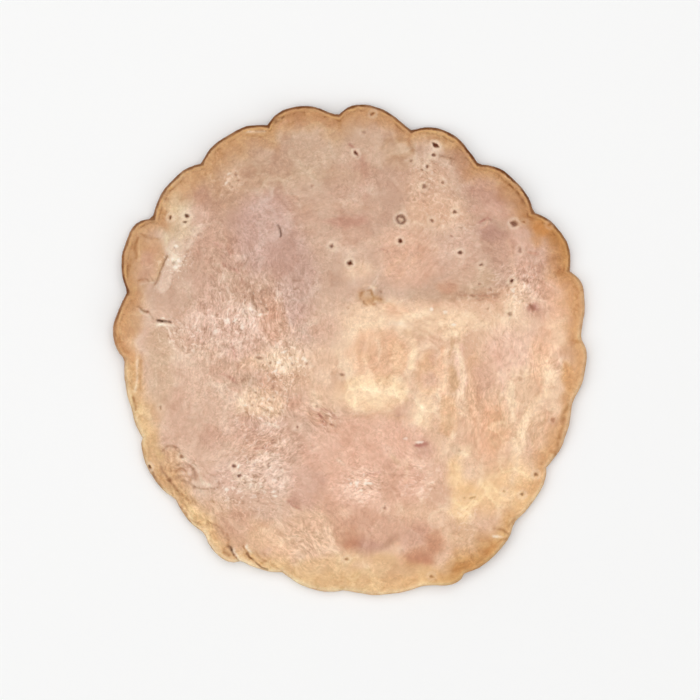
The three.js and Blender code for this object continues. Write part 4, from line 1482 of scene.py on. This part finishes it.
    def glints_and_nicks(self, strings: Socket) -> Socket:
        """Scatters painted highlights where wet fat and gel glint, drawn out along the fibres, with dark
        nicks beside them.

        Args:
            strings: The fibres' height.

        Returns:
            The glints' height.
        """
        high = self.sum("SUBTRACT", self.noise(self.where, 0.8, 1.0, 0.5, 0.6), 0.5)
        high = self.sum("ADD", high, self.sum("MULTIPLY", strings, 0.5))
        glint = self.between(high, 0.09, 0.18, self.flecked)
        nick = self.between(high, -0.13, -0.22, self.flecked)
        self.lay(self.sum("MULTIPLY", glint, 0.6), self.finish.highlight_tone)
        self.tint(nick, lighter(-0.3, 1.1))
        return self.sum("SUBTRACT", glint, nick)

    def skin(self) -> None:
        """Streaks the honey stain, and draws the bands and the dark line of the skin's edge, roasted skin
        with painted shade along it.
        """
        depth, line, stain = self.channels("skin")
        streak = self.noise(self.where, 2.4, 4.0, 0.7, 0.8)
        self.tint(self.between(streak, 0.5, 0.7, stain), (0.84, 0.74, 0.62))
        self.tint(self.between(streak, 0.5, 0.3, stain), (1.12, 1.18, 1.2))
        ragged = self.sum("SUBTRACT", self.noise(self.where, 1.3, 3.0, 0.65), 0.5)
        uneven = self.sum("MULTIPLY", ragged, 0.6)
        uneven = self.sum("ADD", self.sum("MULTIPLY", depth, DEPTH_UNIT), uneven)
        here = self.between(streak, 0.45, 0.6, line)
        for band in self.finish.bands:
            off = self.sum("ABSOLUTE", self.sum("SUBTRACT", uneven, band.depth))
            cover = self.sum("MULTIPLY", self.between(off, band.half, 0.0, here), band.strength)
            self.lay(cover, band.tone)
        # the skin's dark edge: roasted skin, partly painted shade
        self.lay(self.between(uneven, 0.82, 0.42, line), self.finish.line_tone)

    def spots(self) -> None:
        """Darkens the pores, pales the meat round them and paints highlights on the wet glints."""
        pore, halo, glint = self.channels("spots")
        self.lay(self.sum("MULTIPLY", halo, 0.5), self.finish.pale_tone)
        self.lay(self.sum("MULTIPLY", glint, 0.75), self.finish.highlight_tone)
        self.lay(pore, self.finish.pore_tone)

    def surface(self, height: Socket) -> None:
        """Gives the colour its moist gloss and relief, and joins it to the output.

        Args:
            height: The relief's height.
        """
        finish = self.finish
        inputs = {"Height": height, "Strength": 0.6, "Distance": finish.relief}
        bump = self.add("Bump", inputs)
        wet = self.noise(self.where, 6.0)
        shader = self.add("BsdfPrincipled", {
            "Base Color": self.colour,
            "Roughness": self.ramp(wet, 0.35, 0.65, finish.roughness - 0.1, finish.roughness + 0.12),
            "Normal": bump.outputs[0],
            "IOR": 1.4,
            "Specular IOR Level": 0.2,
            "Subsurface Weight": 0.1,
            "Subsurface Radius": (1.0, 0.45, 0.25),
            "Subsurface Scale": 1.0 * MM,
            "Coat Weight": 0.08,
            "Coat Roughness": 0.22,
        })
        self.add("OutputMaterial", {"Surface": shader.outputs[0]})


@dataclass(frozen=True)
class TableFinish:
    """A smooth, near white table top."""

    name: str = "pale_table"
    tone: Colour = (0.93, 0.93, 0.925)
    cloud_tone: Colour = (0.8, 0.8, 0.8)
    cloud_size: float = 90.0
    roughness: float = 0.7

    def make(self) -> bpy.types.Material:
        """Builds the material.

        Returns:
            The material, with the faintest cloudiness in its tone.
        """
        material = bpy.data.materials.new(self.name)
        graph = Graph(material)
        cloud = graph.noise(graph.millimetres(), self.cloud_size)
        share = graph.ramp(cloud, 0.3, 0.7, 0.0, 0.02)
        colour = graph.blend(share, (*self.tone, 1), (*self.cloud_tone, 1))
        inputs = {"Base Color": colour, "Roughness": self.roughness, "Specular IOR Level": 0.2}
        shader = graph.add("BsdfPrincipled", inputs)
        graph.add("OutputMaterial", {"Surface": shader.outputs[0]})
        return material


@dataclass
class TurkeySlice:
    """The slice itself: one closed solid of meat, notched, pored, creased and torn at its skin."""

    thickness: float = 1.8
    corner: float = 0.35
    corner_start: float = 0.97  # the share of the radius where the corner's rounding starts
    round_radius: float = 52.5
    notch_power: float = 3.0
    flat_share: float = 0.5
    cells: int = 76  # to a side of the lower face
    cuts: int = 2  # that the upper face's cells are given
    skin_rows: int = 8
    fine_cuts: int = 2  # by the pores and thin marks
    mark_reach: float = 0.2  # a thin mark's share where its finer cells end
    spot_reach: float = 0.2  # how far past a pore its finer cells go
    pit_depth: float = 0.55
    pit_fullness: float = 0.7  # how steep a pore's side is
    ring_share: float = 0.8  # of a ringed pore's half width, where it is deepest
    ring_width: float = 0.28
    halo_off: float = 0.5  # how far off a pore's edge its pale ring is
    halo_width: float = 0.32
    glint_height: float = 0.08
    wrinkled: float = 0.5  # how far in from the skin its wrinkles go
    stain_start: float = 1.0  # how far in from the skin the honey's stain starts to fade
    glow: Colour = (12, 28, 34)  # what light through the bare edge adds
    glow_width: float = 0.9
    mottling: Colour = (3.5, 5.0, 5.2)  # how far the tones rise and fall
    lit: float = 0.99  # what the lights make of a tone
    sheen: float = 0.021  # what the gloss adds to it
    skin_pull: float = 1.5  # how strongly the fibres by the skin follow it
    skin_pull_width: float = 3.5
    still: float = 0.08  # keeps the fibres' ways faint where they cancel out
    mark_sway: Wobble = Wobble(0.4, 4.0, 2)
    mark_jitter: Wobble = Wobble(0.12, 1.1, 1)
    mark_breaks: Wobble = Wobble(0.55, 1.6, 2)
    mark_whole: float = 0.85  # how whole the marks are on the whole
    least_whole: float = 0.15
    most_whole: float = 1.1
    breaks_aside: float = -60.0  # where on its surface the marks' breaks are read
    spot_sway: Wobble = Wobble(0.17, 0.9, 2)
    tone_sway: Wobble = Wobble(0.8, 5.0, 4)
    tone_mottle: Wobble = Wobble(1.0, 5.0, 4)
    rind_sway: Wobble = Wobble(0.3, 4.0, 3)
    rind_aside: float = 90.0  # where on its surface the rind's sway is read
    line_sway: Wobble = Wobble(0.4, 3.0, 2)
    line_whole: float = 0.9
    face_grain: Wobble = Wobble(0.035, 2.4, 2)
    face_hills: Wobble = Wobble(0.06, 9.0, 2)
    skin_raggedness: Wobble = Wobble(0.6, 2.2, 2)
    skin_wrinkles: Wobble = Wobble(0.09, 1.1, 2)
    outline: Outline = Outline()
    sliver: Sliver = Sliver()
    lifts: tuple[Lift, ...] = each(
        Lift,
        (118, 30, 1.9),
        (174, 16, 1.2),
        (48, 17, 0.9),
        (238, 13, 0.8),
        (301, 15, 1.2),
        (350, 12, 0.6),
    )
    swells: tuple[Swell, ...] = each(
        Swell,
        (0.11, 0.05, 0.4, 0.07),
        (-0.06, 0.13, 2.2, 0.06),
        (0.17, -0.12, 5.1, 0.04),
    )
    ridges: tuple[Ridge, ...] = each(
        Ridge,
        (0.7, 0.6, 0.16),
        (2.4, 1.0, -0.1),
    )

    def __post_init__(self) -> None:
        """Draws the unevenness that the methods share, and finds the outline's middle."""
        self.wander = (Unevenness(11), Unevenness(12))
        self.mottle = Unevenness(13)
        self.fine = Unevenness(14)
        self.ragged = Unevenness(15)
        self.flutter = (self.fine, self.ragged)
        self.middle = self.outline.middle()

    def build(self) -> bpy.types.Object:
        """Models the slice and dresses it.

        Returns:
            The finished piece, which stands for the frame's plain slice.
        """
        piece = self._blank()
        self._refine(piece)
        self._shape(piece)
        self._dress(piece)
        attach(piece, BODY)
        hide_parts(NODE)
        return piece

    def _blank(self) -> bpy.types.Object:
        """Models a square blank of the right make: two faces and a wall of rows between them.

        Returns:
            The blank, two units wide and one high.
        """
        bpy.ops.object.select_all(action="DESELECT")
        bpy.ops.mesh.primitive_grid_add(
            x_subdivisions=self.cells, y_subdivisions=self.cells, size=2, location=(0, 0, 0)
        )
        piece = bpy.context.active_object
        piece.name = "turkey_slice_meat"
        piece.data.name = piece.name
        bpy.ops.object.mode_set(mode="EDIT")
        bpy.ops.mesh.select_all(action="SELECT")
        bpy.ops.mesh.extrude_region_move(TRANSFORM_OT_translate={"value": (0, 0, 1)})
        bpy.ops.mesh.select_all(action="SELECT")
        bpy.ops.mesh.normals_make_consistent(inside=False)
        bpy.ops.object.mode_set(mode="OBJECT")
        self._pick_upright_edges(piece)
        self._subdivide(self.skin_rows - 1)
        self._pick(piece, lambda middle: middle[:, 2] > UPPER_FACE)
        self._subdivide(self.cuts)
        return piece

    def _pick(
        self, piece: bpy.types.Object, chosen: Callable[[np.ndarray], np.ndarray]
    ) -> None:
        """Selects the faces whose middles chosen says yes to, and nothing else.

        Args:
            piece: The piece, out of edit mode.
            chosen: Takes the middles as rows of x, y and z, and gives a yes or no for each.
        """
        mesh = piece.data
        mesh.vertices.foreach_set("select", np.zeros(len(mesh.vertices), bool))
        mesh.edges.foreach_set("select", np.zeros(len(mesh.edges), bool))
        middle = np.zeros(len(mesh.polygons) * 3, np.float32)
        mesh.polygons.foreach_get("center", middle)
        mesh.polygons.foreach_set("select", chosen(middle.reshape(-1, 3)))
        bpy.context.tool_settings.mesh_select_mode = (False, False, True)

    def _pick_upright_edges(self, piece: bpy.types.Object) -> None:
        """Selects the wall's upright edges, and nothing else.

        Args:
            piece: The piece, out of edit mode.
        """
        mesh = piece.data
        ends = np.zeros(len(mesh.edges) * 2, np.int32)
        mesh.edges.foreach_get("vertices", ends)
        height = self._corners(mesh)[ends.reshape(-1, 2), 2]
        mesh.vertices.foreach_set("select", np.zeros(len(mesh.vertices), bool))
        mesh.polygons.foreach_set("select", np.zeros(len(mesh.polygons), bool))
        mesh.edges.foreach_set("select", np.abs(height[:, 0] - height[:, 1]) > 0.5)
        bpy.context.tool_settings.mesh_select_mode = (False, True, False)

    def _subdivide(self, cuts: int) -> None:
        """Subdivides what is selected, in edit mode.

        Args:
            cuts: How many cuts each edge gets.
        """
        bpy.ops.object.mode_set(mode="EDIT")
        bpy.ops.mesh.subdivide(number_cuts=cuts, smoothness=0, ngon=False)
        bpy.ops.object.mode_set(mode="OBJECT")

    def _corners(self, mesh: bpy.types.Mesh) -> np.ndarray:
        """Where a mesh's corners are.

        Args:
            mesh: The mesh.

        Returns:
            Rows of x, y and z.
        """
        corners = np.zeros(len(mesh.vertices) * 3, np.float32)
        mesh.vertices.foreach_get("co", corners)
        return corners.reshape(-1, 3).astype(float)

    def _refine(self, piece: bpy.types.Object) -> None:
        """Gives the upper face smaller cells at pores and thin marks, so that they can sink in.

        Args:
            piece: The piece, out of edit mode.
        """
        thin = [mark for mark in CREASES + CURLS + TORN_SKIN if mark.width < THIN_MARK]

        def wanted(middle: np.ndarray) -> np.ndarray:
            """Whether faces are on the upper side and by a pore or a thin mark.

            Args:
                middle: The faces' middles, as rows of x, y and z.

            Returns:
                A yes or no for each.
            """
            points, _ = self._plan(middle[:, 0], middle[:, 1], np.ones(len(middle)))
            near = np.zeros(len(middle), bool)
            for spot in PORES + GLINTS:
                reach = self.spot_reach + max(spot.wide, spot.tall) / 2
                near |= np.hypot(points[0] - spot.x, points[1] - spot.y) < reach
            bent = self._bend(points)
            for mark in thin:
                near |= mark.reach(bent) > self.mark_reach
            return near & (middle[:, 2] > UPPER_FACE)

        self._pick(piece, wanted)
        self._subdivide(self.fine_cuts)

    def _bend(self, points: Points) -> Points:
        """Points moved a little to and fro, so that no mark runs straight."""
        moved = points + self.mark_sway.sway(self.wander, points)
        return moved + self.mark_jitter.sway(self.flutter, points)

    def _breaks(self, points: Points) -> np.ndarray:
        """How whole a mark is at points, as marks fade and come back along their way."""
        share = self.mark_breaks.of(self.fine, aside(points, self.breaks_aside))
        return np.clip(self.mark_whole + share, self.least_whole, self.most_whole)

    def _plan(
        self, u: np.ndarray, v: np.ndarray, layer: np.ndarray
    ) -> tuple[Points, np.ndarray]:
        """Where the blank's corners come in the slice's plan.

        Args:
            u: The blank's X, from -1 to 1.
            v: The blank's Y, from -1 to 1.
            layer: The share of the thickness.

        Returns:
            The points from the middle of the outline, and how far in from the skin each is.
        """
        disc_x = u * np.sqrt(1 - v * v / 2)
        disc_y = v * np.sqrt(1 - u * u / 2)
        share = np.clip(np.hypot(disc_x, disc_y), 0, 1)
        angle = np.arctan2(disc_y, disc_x)
        skin = self.outline.radius(np.degrees(angle))
        reach = self.round_radius + share**self.notch_power * (skin - self.round_radius)
        past = smooth((share - self.corner_start) / (1 - self.corner_start))
        barrel = self.corner * np.abs(2 * layer - 1) ** 3 * past
        radius = share * reach - barrel
        x = radius * np.cos(angle) - self.middle[0]
        y = radius * np.sin(angle) - self.middle[1]
        return np.stack([x, y]), skin - radius

    def _from_log(self, points: Points) -> tuple[Points, np.ndarray]:
        """Points from the middle of the log, and their angles round it in degrees."""
        log = points + self.middle[:, None]
        return log, np.degrees(np.arctan2(log[1], log[0]))

    def _lift(self, points: Points) -> np.ndarray:
        """How far the lower face stands off the table.

        Args:
            points: Places on the slice.

        Returns:
            Millimetres.
        """
        log, degrees = self._from_log(points)
        share = np.hypot(*log) / self.round_radius
        rise = smooth((share - self.flat_share) / (1 - self.flat_share))
        total = np.zeros(len(degrees))
        for lift in self.lifts:
            away = (degrees - lift.at + 180) % 360 - 180
            total += lift.height * rise * np.exp(-((away / lift.spread) ** 2))
        return total

    def _relief(self, points: Points, inwards: np.ndarray) -> np.ndarray:
        """How far the upper face stands above its plain thickness.

        Args:
            points: Places on the slice.
            inwards: How far in from the skin they are, in millimetres.

        Returns:
            Millimetres.
        """
        (log_x, log_y), _ = self._from_log(points)
        relief = sum(
            swell.height * np.sin(swell.along_x * log_x + swell.along_y * log_y + swell.phase)
            for swell in self.swells
        )
        bent = self._bend(points)
        breaks = self._breaks(points)
        for mark in MARKS:
            relief = relief - mark.depth * breaks * mark.reach(bent)
        relief -= self.sliver.depth * self.sliver.cover(points)
        relief += self.face_grain.of(self.fine, points) + self.face_hills.of(self.mottle, points)
        ragged = 1 + self.skin_raggedness.of(self.ragged, points)
        return relief + sum(ridge.at(inwards) for ridge in self.ridges) * ragged

    def _shape(self, piece: bpy.types.Object) -> None:
        """Draws the blank out to the slice's form, pits its pores and stores its tones.

        Args:
            piece: The blank.
        """
        mesh = piece.data
        u, v, layer = self._corners(mesh).T
        points, inwards = self._plan(u, v, layer)
        pit, halo = self._spots(points, PORES)
        glint, _ = self._spots(points, GLINTS)
        top = layer * layer  # the relief fades down the skin
        relief = self._relief(points, inwards)
        z = self._lift(points) + layer * self.thickness
        z += top * (relief - self.pit_depth * pit + self.glint_height * glint)
        wrinkle = self.skin_wrinkles.of(self.ragged, aside(points, 3 * layer))
        log, _ = self._from_log(points)
        off = wrinkle * (inwards < self.wrinkled) * log / np.maximum(np.hypot(*log), 1.0)
        points = points - off
        low, high = (np.array(corner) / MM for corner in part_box(NODE))
        placed = np.stack([*points, z], 1).clip(low, high) * MM
        mesh.vertices.foreach_set("co", placed.astype(np.float32).ravel())
        mesh.update()
        self._paint(mesh, points, inwards, np.stack([pit, halo, glint], 1) * top[:, None] ** 2)

    def _spots(self, points: Points, spots: tuple[Spot, ...]) -> tuple[np.ndarray, np.ndarray]:
        """Where small round spots are, and the rings round them.

        Args:
            points: Places on the slice.
            spots: The pores, or the glints.

        Returns:
            Two shares from 0 to 1.
        """
        within = np.zeros(len(points[0]))
        halo = np.zeros(len(points[0]))
        bent = points + self.spot_sway.sway(self.flutter, points)
        for spot in spots:
            along, across = on_turned_axes(bent, (spot.x, spot.y), spot.turn)
            share = np.hypot(along / (spot.wide / 2), across / (spot.tall / 2))
            if spot.ring:
                cover = np.exp(-(((share - self.ring_share) / self.ring_width) ** 2))
            else:
                cover = np.exp(-(share**4) * self.pit_fullness)
            within = np.maximum(within, spot.amount * cover)
            off = np.hypot(along, across) * (1 - 1 / (share + TINY))
            around = np.exp(-(((off - self.halo_off) / self.halo_width) ** 2))
            halo = np.maximum(halo, spot.amount * around)
        return within, halo

    def _around(self, degrees: np.ndarray, values: list[float]) -> np.ndarray:
        """Values that the rinds have, one for each, and what comes at angles between them."""
        return np.interp(degrees % 360, [rind.at for rind in RINDS], values, period=360)

    def _tones(self, points: Points, inwards: np.ndarray, degrees: np.ndarray) -> np.ndarray:
        """The meat's tones, with the rind's stain but without the skin's dark edge.

        Args:
            points: Places on the slice.
            inwards: How far in from the skin they are, in millimetres.
            degrees: Their angles round the log.

        Returns:
            Rows of red, green, blue, from 0 to 255, and how deeply the rind has stained the meat.
        """
        bent = points + self.tone_sway.sway(self.wander, points)
        colour = np.zeros((len(degrees), 3)) + Tone.SAND.value
        # the broad tones among these paint shade over the top and the left of the slice
        for patch in MEAT_TONES:
            lay_over(colour, patch.tone, patch.cover(bent))
        colour += self.tone_mottle.of(self.mottle, bent)[:, None] * np.array(self.mottling)
        lay_over(colour, Tone.VEIL, self.sliver.cover(self._bend(points)))

        width = self._around(degrees, [rind.width for rind in RINDS])
        width = width * (1 + self.rind_sway.of(self.mottle, aside(points, self.rind_aside)))
        strength = self._around(degrees, [rind.strength for rind in RINDS])
        rind = np.stack([
            self._around(degrees, [rind.tone.value[channel] for rind in RINDS])
            for channel in range(3)
        ], 1)
        stain = strength * smooth(1 - (inwards - self.stain_start) / width)
        colour += stain[:, None] * (rind - colour)
        for patch in RIM_TONES:
            lay_over(colour, patch.tone, patch.cover(bent))
        bare = 1 - self._around(degrees, [rind.line for rind in RINDS])
        off_wall = smooth(inwards / self.corner)
        glow = bare * off_wall * np.exp(-((inwards / self.glow_width) ** 2))
        colour += glow[:, None] * np.array(self.glow)
        bent = self._bend(points)
        breaks = self._breaks(points)
        # the marks' dark lines are painted shade in creases, and the pale lines beside them painted
        # highlights
        for mark in MARKS:
            if mark.tone is not None:
                lay_over(colour, mark.tone, mark.strength * (breaks * mark.reach(bent)))
        return np.concatenate([colour, stain[:, None]], 1)

    def _paint(
        self, mesh: bpy.types.Mesh, points: Points, inwards: np.ndarray, spots: np.ndarray
    ) -> None:
        """Stores the tones, the skin, the zones, the fibres' ways and the spots on the mesh.

        Args:
            mesh: The slice's mesh.
            points: Its corners, seen from above.
            inwards: How far in from the skin they are, in millimetres.
            spots: Rows of how much of a pore, of the pale ring round one and of a painted glint there is.
        """
        _, degrees = self._from_log(points)
        tones = self._tones(points, inwards, degrees)
        line = self._around(degrees, [rind.line for rind in RINDS])
        line = line * np.clip(self.line_whole + self.line_sway.of(self.ragged, points), 0, 1)
        depth = np.clip(inwards, 0, None) / DEPTH_UNIT
        stringy, flecked, curly = (share_of(zones, points) for zones in (STRINGY, GLINT_ZONES, CURLY))
        stringy = stringy - self.sliver.smoothness * self.sliver.cover(points)
        albedo = (linear(tones[:, :3]) - self.sheen) / self.lit
        self._store(mesh, "tone", np.clip(albedo, 0, 1))
        self._store(mesh, "skin", np.stack([depth, line, tones[:, 3]], 1))
        self._store(mesh, "zones", np.stack([stringy, flecked, curly], 1))
        self._store(mesh, "flow", self._flow(points, inwards, degrees))
        self._store(mesh, "spots", spots)

    def _flow(self, points: Points, inwards: np.ndarray, degrees: np.ndarray) -> np.ndarray:
        """Which way the fibres run, and how clearly the grain shows.

        Args:
            points: Places on the slice.
            inwards: How far in from the skin they are, in millimetres.
            degrees: Their angles round the log.

        Returns:
            Rows of the cosine and sine of twice the fibres' angle, and the grain's share.
        """
        twice = 2 * np.radians(degrees + 90)
        pull = self.skin_pull * np.exp(-((inwards / self.skin_pull_width) ** 2))
        ways = pull * np.stack([np.cos(twice), np.sin(twice)])
        for flow in FLOWS:
            ways += flow.at(points)
        ways = ways / (np.hypot(*ways) + self.still)
        return np.stack([*ways, share_of(GRAINY, points)], 1)

    def _store(self, mesh: bpy.types.Mesh, name: str, rows: np.ndarray) -> None:
        """Stores three numbers for each corner, under a name that the material reads.

        Args:
            mesh: The slice's mesh.
            name: The attribute's name.
            rows: The numbers, a row for each corner.
        """
        attribute = mesh.color_attributes.new(name, "FLOAT_COLOR", "POINT")
        filled = np.concatenate([rows, np.ones((len(rows), 1))], 1)
        attribute.data.foreach_set("color", filled.astype(np.float32).ravel())

    def _dress(self, piece: bpy.types.Object) -> None:
        """Smooths the piece's faces and gives it its material.

        Args:
            piece: The piece, out of edit mode.
        """
        bpy.ops.object.select_all(action="DESELECT")
        piece.select_set(True)
        bpy.context.view_layer.objects.active = piece
        bpy.ops.object.shade_smooth()
        piece.data.materials.append(MeatFinish().make())


@dataclass(frozen=True)
class SoftLight:
    """A square light that faces the slice. Metres."""

    name: str
    place: tuple[float, float, float]
    size: float
    share: float  # of the lights' power

    def hang(self, power: float) -> None:
        """Hangs the light.

        Args:
            power: The lights' power, in watts.
        """
        data = bpy.data.lights.new(self.name, "AREA")
        data.size = self.size
        data.energy = self.share * power
        light = bpy.data.objects.new(self.name, data)
        light.location = self.place
        x, y, z = self.place
        light.rotation_euler = (math.atan2(math.hypot(x, y), z), 0, math.atan2(x, -y))
        bpy.context.scene.collection.objects.link(light)


@dataclass
class Studio:
    """The pale table, the soft lights and the camera that looks straight down."""

    table_size: float = 4.0
    table_drop: float = 0.0002
    camera_height: float = 0.62
    lens: float = 100.0
    shown: float = 0.155  # how much of the table the picture takes in, across
    power: float = 13.0  # of the lights, in watts
    room: float = 0.36  # how bright the room is round them
    lights: tuple[SoftLight, ...] = each(
        SoftLight,
        ("light_overhead", (0.0, 0.25, 1.1), 1.6, 0.8),
        ("light_left", (-0.9, -0.3, 0.8), 0.7, 0.22),
        ("light_right", (0.9, -0.5, 0.7), 0.7, 0.12),
    )

    def build(self) -> None:
        """Sets the table, lights the slice and aims the camera."""
        self._table()
        for light in self.lights:
            light.hang(self.power)
        self._room()
        self._camera()

    def _table(self) -> None:
        """Sets the table just under the slice."""
        bpy.ops.object.select_all(action="DESELECT")
        place = (0, 0, -self.table_drop)
        bpy.ops.mesh.primitive_plane_add(size=self.table_size, location=place)
        table = bpy.context.active_object
        table.name = "pale_table"
        table.data.materials.append(TableFinish().make())

    def _room(self) -> None:
        """Fills the room with even white light."""
        world = bpy.data.worlds.new("pale_room")
        world.use_nodes = True
        background = world.node_tree.nodes["Background"].inputs
        background["Color"].default_value = (1.0, 1.0, 1.0, 1.0)
        background["Strength"].default_value = self.room
        bpy.context.scene.world = world
        bpy.context.scene.view_settings.view_transform = "Standard"

    def _camera(self) -> None:
        """Aims the camera straight down at the middle of the slice."""
        data = bpy.data.cameras.new("camera")
        data.lens = self.lens
        data.sensor_width = self.lens * self.shown / self.camera_height
        camera = bpy.data.objects.new("camera", data)
        camera.location = (0, 0, self.camera_height)
        bpy.context.scene.collection.objects.link(camera)
        bpy.context.scene.camera = camera


def main() -> None:
    """Builds the slice and its studio, and reports each piece."""
    logging.basicConfig(level=logging.INFO, format="%(message)s")
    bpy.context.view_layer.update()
    piece = TurkeySlice().build()
    piece.data.calc_loop_triangles()
    log.info("%s: %d triangles", piece.name, len(piece.data.loop_triangles))
    Studio().build()
    log.info("studio: table, lights and camera")


if __name__ == "__main__":
    main()
